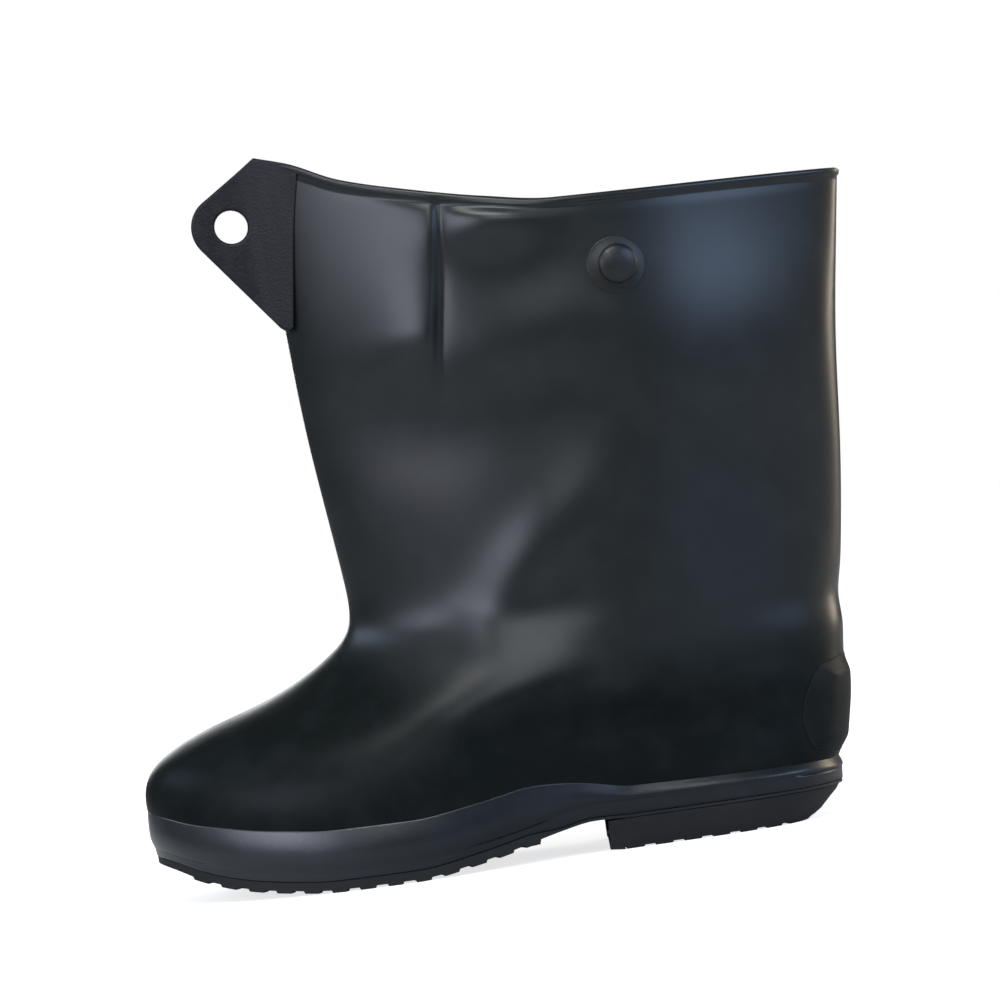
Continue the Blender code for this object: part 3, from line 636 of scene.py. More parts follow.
def add_piece(name: str, points: np.ndarray, faces: list | np.ndarray,
              smooth: bool = True) -> bpy.types.Object:
    """Makes a mesh object at the origin.

    Args:
        name: The piece's name.
        points: Its points, in metres.
        faces: Rows of point numbers.
        smooth: Whether it shades smoothly.

    Returns:
        The object, linked to the scene.
    """
    mesh = bpy.data.meshes.new(name)
    mesh.from_pydata(np.asarray(points).reshape(-1, 3).tolist(), [], [list(face) for face in faces])
    mesh.update()
    if smooth:
        mesh.shade_smooth()
    piece = bpy.data.objects.new(name, mesh)
    bpy.context.scene.collection.objects.link(piece)
    return piece


def hoop_faces(rings: int, section: int) -> np.ndarray:
    """Quads of a hoop: closed sections set round a closed ring.

    Args:
        rings: How many sections go round.
        section: How many points each section has.

    Returns:
        Rows of four point numbers, for points ordered section by section.
    """
    i, j = np.meshgrid(np.arange(rings), np.arange(section), indexing="ij")
    ahead, beside = (i + 1) % rings, (j + 1) % section
    corners = (i * section + j, ahead * section + j, ahead * section + beside, i * section + beside)
    return np.stack(corners, axis=-1).reshape(-1, 4)


def sheet_faces(rows: int, columns: int, wrap: bool = False, first: int = 0) -> np.ndarray:
    """Quads of a grid of points, row by row.

    Args:
        rows: How many rows.
        columns: How many points in each row.
        wrap: Whether each row closes on itself.
        first: The number of the grid's first point.

    Returns:
        Rows of four point numbers.
    """
    across = columns if wrap else columns - 1
    i, j = np.meshgrid(np.arange(rows - 1), np.arange(across), indexing="ij")
    beside = (j + 1) % columns
    corners = (i * columns + j, i * columns + beside, (i + 1) * columns + beside, (i + 1) * columns + j)
    return np.stack(corners, axis=-1).reshape(-1, 4) + first


def capped_faces(rows: int, columns: int) -> list[list[int]]:
    """Faces of a closed tube: rows of points that go round, and a face over each end.

    Args:
        rows: How many rows.
        columns: How many points in each row.

    Returns:
        Lists of point numbers.
    """
    end = (rows - 1) * columns
    faces = [list(face) for face in sheet_faces(rows, columns, wrap=True)]
    return faces + [list(range(columns)), list(range(end, end + columns))[::-1]]


def tidy_mesh(piece: bpy.types.Object) -> None:
    """Merges doubled points and turns the faces of a closed solid out.

    Args:
        piece: The solid.
    """
    work = bmesh.new()
    work.from_mesh(piece.data)
    bmesh.ops.remove_doubles(work, verts=work.verts, dist=MERGE_DISTANCE)
    bmesh.ops.dissolve_degenerate(work, edges=work.edges, dist=MERGE_DISTANCE / 10)
    bmesh.ops.recalc_face_normals(work, faces=work.faces)
    work.to_mesh(piece.data)
    work.free()
    piece.data.shade_smooth()


def soften_edges(piece: bpy.types.Object, width: float) -> None:
    """Rounds the sharp edges of a piece, with crisp shading on its flats.

    Args:
        piece: The piece.
        width: The rounding's width.
    """
    bevel = piece.modifiers.new("soft_edges", "BEVEL")
    bevel.width = width
    bevel.segments = 2
    bevel.limit_method = "ANGLE"
    bevel.angle_limit = SHARP_ANGLE
    bevel.harden_normals = False
    normals = piece.modifiers.new("flat_shading", "WEIGHTED_NORMAL")
    normals.keep_sharp = True


class Wire:
    """A socket that arithmetic works on: an expression of wires adds its Math nodes."""

    def __init__(self, recipe: Recipe, socket: bpy.types.NodeSocket) -> None:
        """Keeps the recipe and the socket."""
        self.recipe = recipe
        self.socket = socket

    def _math(self, operation: str, *values: Wire | float) -> Wire:
        """Adds one Math node."""
        return self.recipe.node("ShaderNodeMath", {"operation": operation}, dict(enumerate(values)))

    def __add__(self, other: Wire | float) -> Wire:
        """Sum."""
        return self._math("ADD", self, other)

    __radd__ = __add__

    def __mul__(self, other: Wire | float) -> Wire:
        """Product."""
        return self._math("MULTIPLY", self, other)

    __rmul__ = __mul__

    def __sub__(self, other: Wire | float) -> Wire:
        """Difference."""
        return self._math("SUBTRACT", self, other)

    def __rsub__(self, other: Wire | float) -> Wire:
        """Difference with the wire on the right."""
        return self._math("SUBTRACT", other, self)

    def least(self, other: Wire | float) -> Wire:
        """The smaller of the two."""
        return self._math("MINIMUM", self, other)

    def ramp(self, low: float, high: float) -> Wire:
        """0 below low and 1 above high, smoothly.

        Args:
            low: Where the step begins.
            high: Where it ends.

        Returns:
            The wire of the step.
        """
        settings = {"interpolation_type": "SMOOTHSTEP", "clamp": True}
        ends = {"Value": self, "From Min": low, "From Max": high}
        return self.recipe.node("ShaderNodeMapRange", settings, ends)


class Recipe:
    """The node tree of one material."""

    def __init__(self, name: str) -> None:
        """Makes the material with its Principled shader.

        Args:
            name: The material's name.
        """
        self.material = bpy.data.materials.new(name)
        self.material.use_nodes = True
        self.tree = self.material.node_tree
        self.shader = self.tree.nodes["Principled BSDF"]

    def _feed(self, socket: bpy.types.NodeSocket, value: object) -> None:
        """Links a wire to a socket, or sets the socket's own value.

        Args:
            socket: The socket.
            value: A wire, or a value of the socket's own kind.
        """
        if isinstance(value, Wire):
            self.tree.links.new(value.socket, socket)
        else:
            socket.default_value = value

    def node(self, kind: str, settings: dict, inputs: dict, output: int | str = 0) -> Wire:
        """Adds any node.

        Args:
            kind: The node's type.
            settings: Its own properties, set first.
            inputs: Values or wires, by the socket's name or number.
            output: Which output to return.

        Returns:
            The wire of that output.
        """
        made = self.tree.nodes.new(kind)
        for name, value in settings.items():
            setattr(made, name, value)
        for name, value in inputs.items():
            self._feed(made.inputs[name], value)
        return Wire(self, made.outputs[output])

    def set(self, name: str, value: object) -> None:
        """Sets or links one socket of the Principled shader."""
        self._feed(self.shader.inputs[name], value)

    def coordinates(self) -> Wire:
        """Object coordinates."""
        return self.node("ShaderNodeTexCoord", {}, {}, "Object")

    def along(self, axis: str) -> Wire:
        """One of the object coordinates: X, Y or Z."""
        return self.node("ShaderNodeSeparateXYZ", {}, {"Vector": self.coordinates()}, axis)

    def noise(self, size: float, detail: float = 3.0, rough: float = 0.55,
              stretch: tuple[float, float, float] = (1, 1, 1)) -> Wire:
        """Cloudy noise.

        Args:
            size: Width of one cloud, in metres.
            detail: How many finer layers it has.
            rough: How strong the finer layers are.
            stretch: Scale along each axis.

        Returns:
            A value round 0.5.
        """
        place = self.node("ShaderNodeMapping", {}, {"Vector": self.coordinates(), "Scale": stretch})
        return self.node("ShaderNodeTexNoise", {}, {
            "Vector": place, "Scale": 1 / size, "Detail": detail, "Roughness": rough})

    def mix(self, share: Wire, first: tuple[float, ...], second: tuple[float, ...]) -> Wire:
        """A colour between two colours. A Mix node has its colours on sockets 6 and 7."""
        colours = {0: share, 6: (*first, 1.0), 7: (*second, 1.0)}
        return self.node("ShaderNodeMix", {"data_type": "RGBA"}, colours, 2)

    def bump(self, height: Wire, distance: float, under: Wire | None = None) -> Wire:
        """A bump of the given depth, over another bump if one is given.

        Args:
            height: The pattern that is raised.
            distance: Its depth, in metres.
            under: The bump that it lies over.

        Returns:
            The wire of the bent normal.
        """
        inputs = {"Height": height, "Distance": distance}
        if under is not None:
            inputs["Normal"] = under
        return self.node("ShaderNodeBump", {}, inputs)


@dataclass(frozen=True)
class Patches:
    """Cloudy patches: a noise cut to a mask between two of its values."""

    size: float
    low: float
    high: float
    detail: float = 3.0
    rough: float = 0.55
    stretch: tuple[float, float, float] = (1, 1, 1)

    def mask(self, recipe: Recipe) -> Wire:
        """0 between the patches and 1 in them."""
        return recipe.noise(self.size, self.detail, self.rough, self.stretch).ramp(self.low, self.high)


@dataclass(frozen=True)
class GlossZones:
    """Where the dull foot of the upper ends, and the polished toe of the foxing."""

    dull_top: float = 56 * MM
    glossy_bottom: float = 88 * MM
    instep: float = -100 * MM
    rise_ahead: float = 0.6
    patch_size: float = 55 * MM
    patch_depth: float = 34 * MM
    toe_start: float = -185 * MM
    toe_end: float = -90 * MM

    def foot(self, recipe: Recipe) -> Wire:
        """1 on the dull foot and 0 on the shaft, with a patchy border that rises over the instep.

        Args:
            recipe: The material's node tree.

        Returns:
            The wire of the mask.
        """
        patchy = (recipe.noise(self.patch_size, detail=1) - 0.5) * self.patch_depth
        ahead = (recipe.along("X") - self.instep).least(0.0) * self.rise_ahead
        return 1 - (recipe.along("Z") + patchy + ahead).ramp(self.dull_top, self.glossy_bottom)

    def toe(self, recipe: Recipe) -> Wire:
        """1 at the polished toe and 0 behind it."""
        return 1 - recipe.along("X").ramp(self.toe_start, self.toe_end)


@dataclass(frozen=True)
class Rubber:
    """Black natural rubber, as it comes from its mould and from handling.

    The colour drifts between a deep black and a faint bloom. The gloss drifts with it, and smears
    and scuffs dull it. Two bumps lie over each other: a slow unevenness, and a fine skin like
    orange peel. A grained rubber has its cells over both.
    """

    name: str
    colour: tuple[float, float, float]
    bloom: tuple[float, float, float]
    roughness: float
    bloom_roughness: float
    wave_size: float = 26 * MM
    wave_depth: float = 0.22 * MM
    skin_size: float = 1.1 * MM
    skin_depth: float = 0.055 * MM
    grain_size: float = 0.0
    grain_depth: float = 0.0
    grain_randomness: float = 0.75
    mottle_size: float = 16 * MM
    mottle_share: float = 0.7
    specks: Patches = Patches(2.2 * MM, 0.55, 0.80, detail=2, rough=0.7)
    smears: Patches = Patches(38 * MM, 0.35, 0.70, stretch=(1, 1, 0.45))
    scuffs: Patches = Patches(7 * MM, 0.60, 0.74, detail=5, rough=0.75, stretch=(1, 1, 3.2))
    haze_dulls: float = 0.7
    smears_dull: float = 0.5
    scuffs_dull: float = 0.05
    refraction: float = 1.5
    specular: float = 0.42
    gloss_coat: float = 0.0
    foot_coat: float = 0.0
    toe_coat: float = 0.0
    coat_roughness: float = 0.33
    zones: GlossZones = GlossZones()

    def material(self) -> bpy.types.Material:
        """Builds the node tree and returns the material.

        Returns:
            The material.
        """
        recipe = Recipe(self.name)
        mottle = Patches(self.mottle_size, 0.40, 0.68, detail=4).mask(recipe)
        haze = mottle * self.mottle_share + self.specks.mask(recipe) * (1 - self.mottle_share)
        recipe.set("Base Color", recipe.mix(haze, self.colour, self.bloom))
        spread = self.bloom_roughness - self.roughness
        rubbed = (haze * (spread * self.haze_dulls)
                  + self.smears.mask(recipe) * (spread * self.smears_dull)
                  + self.scuffs.mask(recipe) * self.scuffs_dull)
        recipe.set("Roughness", rubbed + self.roughness)
        recipe.set("Metallic", 0.0)
        recipe.set("IOR", self.refraction)
        recipe.set("Specular IOR Level", self.specular)
        if self.gloss_coat:
            less = self.foot_coat - self.gloss_coat
            self._coat(recipe, self.zones.foot(recipe) * less + self.gloss_coat)
        if self.toe_coat:
            self._coat(recipe, self.zones.toe(recipe) * self.toe_coat)
        wave = recipe.bump(recipe.noise(self.wave_size, detail=1), self.wave_depth)
        skin = recipe.bump(recipe.noise(self.skin_size, detail=2), self.skin_depth, under=wave)
        if self.grain_depth:
            cells = recipe.node("ShaderNodeTexVoronoi", {"feature": "F1"}, {
                "Vector": recipe.coordinates(), "Scale": 1 / self.grain_size,
                "Randomness": self.grain_randomness})
            skin = recipe.bump(cells, self.grain_depth, under=skin)
        recipe.set("Normal", skin)
        recipe.material.diffuse_color = (*self.colour, 1)
        recipe.material.roughness = self.roughness
        return recipe.material

    def _coat(self, recipe: Recipe, weight: Wire) -> None:
        """Lays a thin coat of polish over the rubber.

        Args:
            recipe: The material's node tree.
            weight: How strong the coat is.
        """
        recipe.set("Coat Weight", weight)
        recipe.set("Coat Roughness", self.coat_roughness)
        recipe.set("Coat IOR", self.refraction)


@dataclass(frozen=True)
class Crowding:
    """A stretch round the boot where the upper's columns stand closer together, in radians."""

    extra: float
    middle: float
    spread: float


@dataclass
class Upper:
    """The hollow foot and shaft: a slack sleeve of rubber with a rolled collar."""

    wall: SlackWall
    finish: Rubber
    foot_wall: float = 2.6 * MM
    shaft_wall: float = 1.8 * MM
    roll_proud: float = 0.8 * MM
    roll_height: float = 3.4 * MM
    outer_rows: int = 214
    roll_rows: int = 12
    rim_rows: int = 5
    inner_rows: int = 70
    inner_crowding: float = 0.9
    roll_clearance: float = 0.02
    fine_points: int = 4001
    fine_levels: int = 801
    columns: int = 296
    folded: tuple[Crowding, ...] = (
        Crowding(1.7, 1.20, 0.42), Crowding(0.7, 2.45, 0.45), Crowding(0.5, 4.4, 0.8))

    def angles(self) -> np.ndarray:
        """Angles round the ring, closer together where the folds are.

        Returns:
            One angle for each column.
        """
        fine = np.linspace(0, 2 * math.pi, self.fine_points)
        density = np.ones(len(fine))
        for stretch in self.folded:
            density += stretch.extra * np.exp(-((fine - stretch.middle) / stretch.spread) ** 2)
        total = np.concatenate([[0], np.cumsum((density[1:] + density[:-1]) / 2)])
        return np.interp(np.arange(self.columns) * total[-1] / self.columns, total, fine)

    def levels(self, rows: int) -> np.ndarray:
        """Levels whose rings are evenly spaced up the outer side.

        Args:
            rows: How many levels.

        Returns:
            The levels, in rising order.
        """
        trial = np.linspace(0, self.wall.last.collar, self.fine_levels)
        line = self.wall.last.wall(trial, math.pi / 2)
        walked = np.concatenate([[0], np.cumsum(np.linalg.norm(np.diff(line, axis=0), axis=1))])
        return np.interp(np.linspace(0, walked[-1], rows), walked, trial)

    def thickness(self, level: np.ndarray) -> np.ndarray:
        """The wall's thickness, thinner in the shaft."""
        throat = self.wall.last.throat
        return np.interp(level, (throat - 1, throat + 1), (self.foot_wall, self.shaft_wall))

    def build(self) -> bpy.types.Object:
        """Makes the sleeve.

        Each section goes up the outer face, over the rim on half a circle and down the inner face,
        and the sections go round the boot. Near the collar the outer face rolls out by
        p * sqrt(1 - q^2), where p is the roll's height off the wall and q goes from -1 to 1 across
        it.

        Returns:
            The upper's object.
        """
        last = self.wall.last
        angles = self.angles()
        up = self.levels(self.outer_rows)
        rim_radius = (self.shaft_wall + self.roll_proud) / 2
        step = 0.05
        rise = last.wall(last.collar, angles)[:, 2] - last.wall(last.collar - step, angles)[:, 2]
        top = last.collar - step * rim_radius / rise
        level = up[:, None] * (top / last.collar)[None, :]
        roll = np.linspace(0, 1, self.roll_rows)[:, None]
        roll_start = top - step * (self.roll_height - rim_radius) / rise
        below = level[level[:, 0] < roll_start.min() - self.roll_clearance]
        level = np.vstack([below, roll_start + (top - roll_start) * roll])
        drop = self.wall.collar_drop(level, angles[None, :])
        across = np.clip((self.roll_height - drop) / (self.roll_height - rim_radius), 0, 1)
        proud = self.roll_proud * np.sqrt(np.clip(1 - (1 - across) ** 2, 0, 1))
        outer = self.wall.face(level, angles[None, :], proud)

        share = np.linspace(0, 1, self.inner_rows)[::-1, None] ** self.inner_crowding
        inner_level = share * top[None, :]
        inner = self.wall.face(inner_level, angles[None, :], -self.thickness(inner_level))

        centre = (outer[-1] + inner[0]) / 2
        side = (outer[-1] - inner[0]) / 2
        upwards = unit(outer[-1] - outer[-2])
        radius = np.linalg.norm(side, axis=1)[:, None]
        turn = np.linspace(0, math.pi, self.rim_rows + 2)[1:-1, None, None]
        rim = centre + side * np.cos(turn) + upwards * radius * np.sin(turn)
        profile = np.concatenate([outer, rim, inner]).transpose(1, 0, 2)
        piece = add_piece("upper_wall", profile, hoop_faces(*profile.shape[:2]))
        piece.data.materials.append(self.finish.material())
        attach(piece, "root")
        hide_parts("upper")
        return piece


@dataclass
class Plan:
    """The sole's outline from above: the feather edge, moved out by an offset."""

    last: Last
    points: int = 240
    closest: float = 0.02

    def angles(self) -> np.ndarray:
        """Angles round the ring, evenly spaced."""
        return full_turn(self.points)

    def halves(self, offset: np.ndarray | float) -> tuple[np.ndarray, np.ndarray]:
        """The outline's outer and inner half, each from toe to heel.

        Args:
            offset: How far the outline is moved out, all round or for each angle.

        Returns:
            Two arrays of x and y.
        """
        offset = np.broadcast_to(np.asarray(offset, float), (self.points,))[:, None]
        angles = self.angles()
        edge = self.last.wall(0.0, angles) + self.last.level_normal(angles) * offset
        half = self.points // 2
        return edge[:half + 1, :2], np.vstack([edge[:1, :2], edge[:half - 1:-1, :2]])

    @staticmethod
    def at(outline: np.ndarray, station: np.ndarray) -> np.ndarray:
        """Points of a half outline at fractional places along it."""
        places = np.arange(len(outline))
        return np.stack([np.interp(station, places, outline[:, k]) for k in (0, 1)], axis=1)

    def flanks(self, rows: list[tuple], station: np.ndarray) -> tuple[list, list]:
        """The outer and the inner side of a solid under the foot, row by row.

        Args:
            rows: Each row's offset from the feather edge, its heights at the stations, and how far
                back its points are moved there.
            station: Fractional places along the half outlines.

        Returns:
            Points of each row, on the outer side and on the inner side.
        """
        sides = ([], [])
        for offset, height, back in rows:
            for side, half in zip(sides, self.halves(offset)):
                place = self.at(half, station)
                side.append(np.column_stack([place[:, 0] + back, place[:, 1], height]))
        return sides

    def stations(self, outline: np.ndarray, corners: np.ndarray, first: float) -> np.ndarray:
        """Places along a half outline: its own points from first on, and those at the corners' x.

        Args:
            outline: The half outline, from toe to heel.
            corners: Places along X that need a point of their own.
            first: The place where the solid begins.

        Returns:
            Fractional places along the outline, in rising order.
        """
        places = np.arange(len(outline), dtype=float)
        joined = np.sort(np.concatenate([places, np.interp(corners, outline[:, 0], places)]))
        joined = joined[joined >= first]
        return joined[np.insert(np.diff(joined) > self.closest, 0, True)]


@dataclass
class LugRow:
    """A row of lugs along the sole, with slanting walls."""

    first: float
    count: int
    pitch: float
    length: float
    draft: float = 0.5 * MM

    def corners(self) -> np.ndarray:
        """Where each lug's two walls begin and end along X.

        Returns:
            Four places for each lug, in rising order.
        """
        start = self.first + np.arange(self.count)[:, None] * self.pitch
        inside = np.array([0, self.draft, self.length - self.draft, self.length])
        return (start + inside).ravel()

    def share(self, x: np.ndarray) -> np.ndarray:
        """1 on a lug, 0 in a groove, straight between on its walls."""
        shares = np.tile((0.0, 1.0, 1.0, 0.0), self.count)
        return np.interp(x, self.corners(), shares, left=0, right=0)


def skin_lengthwise(name: str, loops: np.ndarray) -> bpy.types.Object:
    """A solid skinned along the foot, with one closed loop of points across each station.

    Args:
        name: The piece's name.
        loops: Points, by station and by place in the loop.

    Returns:
        The object, with a face over each end that isn't a point.
    """
    stations, count = loops.shape[:2]
    faces = [list(quad) for quad in sheet_faces(stations, count, wrap=True)]
    for end in (0, stations - 1):
        if np.ptp(loops[end, :, 1]) > 10 * MERGE_DISTANCE:
            faces.append(list(range(end * count, (end + 1) * count)))
    piece = add_piece(name, loops, faces)
    tidy_mesh(piece)
    return piece


@dataclass
class Sole:
    """What the foot stands on: cleated outsole, heel block and insole."""

    plan: Plan
    finish: Rubber
    insole_finish: Rubber
    lip: float = 2.0 * MM
    lip_height: float = 1.2 * MM
    chevron: float = 8.0 * MM
    lug_centre: float = 0.675
    lugs_ahead: int = 7
    lugs_behind: int = 5
    lug_pitch: float = 11.5 * MM
    lug_length: float = 6.8 * MM
    heel_lugs: int = 7
    heel_pitch: float = 12.0 * MM
    heel_lug_length: float = 8.0 * MM
    breast_slope: float = 6.5 * MM
    side_taper: float = 2.0 * MM
    back_taper: float = 16.5 * MM
    rim_width: float = 3.0 * MM
    rim_draft: float = 1.0 * MM
    sole_rim: float = 0.70
    heel_rim: float = 0.80
    back_sharpness: int = 6
    edge_rounding: float = 0.35 * MM
    heel_profile: tuple[tuple[float, float], ...] = (
        (1.0, .08), (.82, .17), (.62, .34), (.42, .50), (.26, .63), (.13, .80), (.06, .93), (0, 1))

    def _cut(self, curve: Callable[[np.ndarray], np.ndarray], x: np.ndarray) -> np.ndarray:
        """Height of one of the sole's curves as the outline's points cut it.

        Args:
            curve: The height as a function of the place along X.
            x: Where to read it.

        Returns:
            The height at each place, straight between the outline's points.
        """
        half = self.plan.points // 2
        rings = self.plan.last.wall(0.0, self.plan.angles()[:half + 1])[:, 0]
        return np.interp(x, rings, curve(rings))

    def outsole(self) -> bpy.types.Object:
        """Makes the outsole.

        Its loops go across the foot: the seat, a side wall, a lip that the foxing stands on, a low
        rim that closes most of each groove's end, and the underside, whose middle point is moved
        forward by c * sin(pi * s) so that each lug is a chevron, where c is the chevron's depth
        and s goes from 0 at the toe to 1 at the heel.

        Returns:
            The outsole's object.
        """
        last, plan = self.plan.last, self.plan
        centre = last.heel_back - self.lug_centre * last.foot_length
        first = centre + self.chevron / 2 - self.lug_length / 2 - self.lugs_ahead * self.lug_pitch
        lugs = LugRow(first, self.lugs_ahead + 1 + self.lugs_behind, self.lug_pitch, self.lug_length)
        edge_outer, edge_inner = plan.halves(0.0)
        station = plan.stations(edge_outer, lugs.corners(), 0)
        outer, inner = plan.at(edge_outer, station), plan.at(edge_inner, station)
        x = outer[:, 0]
        share = lugs.share(x) * last.has_lugs(x)
        seat, under = self._cut(last.seat_height, x), self._cut(last.under_height, x)
        bottom = under - last.lug_depth * share
        rim_share = share + (1 - share) * self.sole_rim * last.lug_share(x)
        rim_bottom = under - last.lug_depth * rim_share
        middle = (outer + inner) / 2
        chevron = middle.copy()
        chevron[:, 0] -= self.chevron * np.sin(math.pi * station / station[-1]) * last.lug_share(x)
        middle_bottom = last.under_height(chevron[:, 0]) - last.lug_depth * share

        flat = self.lip - self.rim_width
        ledge = under + self.lip_height
        outer_side, inner_side = plan.flanks([
            (0.0, seat, 0), (0.0, ledge, 0), (self.lip, ledge, 0), (self.lip, rim_bottom, 0),
            (flat, rim_bottom, 0), (flat - self.rim_draft, bottom, 0)], station)
        loop = [np.column_stack([middle, seat]), *outer_side,
                np.column_stack([chevron, middle_bottom]), *inner_side[::-1]]
        return skin_lengthwise("cleated_outsole", np.stack(loop, axis=1))

    def heel(self) -> bpy.types.Object:
        """Makes the heel block, drawn in towards its tread and most of all at its back.

        Returns:
            The heel's object.
        """
        last, plan = self.plan.last, self.plan
        first = -(self.heel_lugs // 2) * self.heel_pitch - self.heel_lug_length / 2
        lugs = LugRow(first, self.heel_lugs, self.heel_pitch, self.heel_lug_length)
        rear_bar = first + (self.heel_lugs - 1) * self.heel_pitch + lugs.draft
        breast = first - self.breast_slope
        outline, _ = plan.halves(self.lip)
        start = np.interp(breast, outline[:, 0], np.arange(len(outline)))
        station = plan.stations(outline, np.append(lugs.corners(), breast), start)
        towards_back = np.clip(-np.cos(plan.angles()), 0, 1) ** self.back_sharpness
        taper = self.side_taper + (self.back_taper - self.side_taper) * towards_back
        depth = last.heel_height - last.fit_gap
        x = plan.at(outline, station)[:, 0]
        share = lugs.share(x)
        share[(x > rear_bar) | (station == station[0])] = 1.0
        groove = last.lug_depth * (1 - share)
        rim_groove = groove * (1 - self.heel_rim)
        lean = np.where(station == station[0], self.breast_slope, 0)
        rows = [(self.lip - inset * taper, np.maximum(height * depth, rim_groove),
                 lean * (1 - height)) for height, inset in self.heel_profile]
        tread = rows[-1][0]
        rows.append((tread - self.rim_width, rim_groove, lean))
        rows.append((tread - self.rim_width - self.rim_draft, groove, lean))
        outer_side, inner_side = plan.flanks(rows, station)
        return skin_lengthwise("heel_block", np.stack(outer_side + inner_side[::-1], axis=1))

    def build(self, nodes: dict[str, bpy.types.Object]) -> None:
        """Makes the outsole and heel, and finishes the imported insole.

        Args:
            nodes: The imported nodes, by name.
        """
        material = self.finish.material()
        for piece, node in ((self.outsole(), "outsole"), (self.heel(), "heel")):
            soften_edges(piece, self.edge_rounding)
            piece.data.materials.append(material)
            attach(piece, "root")
            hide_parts(node)
        insole = nodes["insole"]
        insole.data.materials.clear()
        insole.data.materials.append(self.insole_finish.material())


@dataclass
class Foxing:
    """The strip round the foot, over the joint of upper and outsole, with a rounded face."""

    wall: SlackWall
    finish: Rubber
    lip_height: float = 1.2 * MM
    thickness: float = 2.3 * MM
    crown: float = 0.9 * MM
    fullness: float = 1.4
    feather: float = 0.03
    foot_share: float = 0.16
    foot_offset: float = 2.0 * MM
    foot_sharpness: int = 3
    tuck: float = 0.42 * MM
    tuck_sharpness: int = 8
    columns: int = 320
    face_rows: int = 30
    inner_rows: int = 5

    def build(self) -> bpy.types.Object:
        """Makes the strip.

        Its face stands off the wall by t * f(s) + c * sin(pi * s), where s goes from 0 at its foot
        to 1 at its upper edge, t is its thickness and c its crown. f falls from 1 to the feather's
        share with the squared cosine of half pi times s to the power of the strip's fullness. Its
        foot draws in to the sole's lip, and its upper edge is tucked into the wall, as the cement
        leaves it.

        Returns:
            The foxing's object.
        """
        last = self.wall.last
        angles = full_turn(self.columns)
        edge = last.wall(0.0, angles)
        trial = np.linspace(0, last.throat / 2, TRIAL_POINTS)
        heights = last.wall(trial[:, None], angles[None, :])[..., 2]
        wanted = last.foxing_top(edge[:, 0])
        top = np.array([np.interp(wanted[k], heights[:, k], trial) for k in range(self.columns)])
        flat = last.level_normal(angles)
        low = edge.copy()
        low[:, 2] = last.under_height(edge[:, 0]) + self.lip_height + last.fit_gap

        inner_share = np.linspace(1, 0, self.inner_rows)[:, None]
        inner_off = last.fit_gap - self.tuck * inner_share[..., None] ** self.tuck_sharpness
        inner = (last.wall(top * inner_share, angles)
                 + last.normal(top * inner_share, angles) * inner_off)
        inner = np.concatenate([inner, (low + flat * last.fit_gap)[None]])

        rise = np.linspace(0, 1, self.face_rows)
        fall = np.cos(math.pi / 2 * rise ** self.fullness) ** 2
        off = self.thickness * (self.feather + (1 - self.feather) * fall)
        off += last.fit_gap + self.crown * np.sin(math.pi * rise)
        off -= (self.thickness - self.foot_offset) * (1 - rise) ** self.foot_sharpness
        off -= self.tuck * rise ** self.tuck_sharpness
        rows = []
        for share, away in zip(rise, off):
            if share < self.foot_share:
                down = 1 - share / self.foot_share
                rows.append(edge + (low - edge) * down + flat * away)
            else:
                level = top * (share - self.foot_share) / (1 - self.foot_share)
                rows.append(last.wall(level, angles) + last.normal(level, angles) * away)
        profile = np.concatenate([np.stack(rows), inner]).transpose(1, 0, 2)
        piece = add_piece("foxing_strip", profile, hoop_faces(*profile.shape[:2]))
        tidy_mesh(piece)
        piece.data.materials.append(self.finish.material())
        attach(piece, "root")
        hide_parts("foxing")
        return piece


@dataclass
class Counter:
    """The patch over the back of the heel, pressed on with soft edges."""

    wall: SlackWall
    finish: Rubber
    thickness: float = 2.0 * MM
    bottom: float = 26.5 * MM
    top: float = 67.0 * MM
    wrap: float = math.radians(30)
    corner: float = 0.3
    slope: float = 0.42
    feather: float = 0.03
    rows: int = 61
    columns: int = 81

    def build(self) -> bpy.types.Object:
        """Makes the patch.

        The square -1..1 is bent to a rounded shield by a * sqrt(1 - k*b^2) and b * sqrt(1 - k*a^2).
        The outer face rises from the wall on a smooth slope at every edge.

        Returns:
            The patch's object.
        """
        last = self.wall.last
        trial = np.linspace(0, last.throat, TRIAL_POINTS)
        low, high = np.interp((self.bottom, self.top), last.wall(trial, math.pi)[:, 2], trial)
        b, a = np.meshgrid(np.linspace(-1, 1, self.rows), np.linspace(-1, 1, self.columns),
                           indexing="ij")
        angle = math.pi + self.wrap * a * np.sqrt(1 - self.corner * b * b)
        level = (low + high) / 2 + (high - low) / 2 * b * np.sqrt(1 - self.corner * a * a)
        rounding = smooth_step(0, self.slope, 1 - np.maximum(np.abs(a), np.abs(b)))
        clearance = last.fit_gap / 2
        proud = self.thickness * (self.feather + (1 - self.feather) * rounding)
        face = self.wall.face(level, angle, clearance + proud)
        back = self.wall.face(level, angle, clearance)
        count = self.rows * self.columns
        front_faces = sheet_faces(self.rows, self.columns)
        back_faces = sheet_faces(self.rows, self.columns, first=count)[:, ::-1]
        border = np.concatenate([
            np.arange(self.columns), np.arange(2, self.rows + 1) * self.columns - 1,
            count - 2 - np.arange(self.columns - 1), np.arange(self.rows - 2, 0, -1) * self.columns])
        following = np.roll(border, -1)
        rim = np.stack([border + count, following + count, following, border], axis=1)
        piece = add_piece("counter_patch", np.stack([face, back]),
                          np.concatenate([front_faces, back_faces, rim]))
        tidy_mesh(piece)
        piece.data.materials.append(self.finish.material())
        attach(piece, "root")
        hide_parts("counter")
        return piece


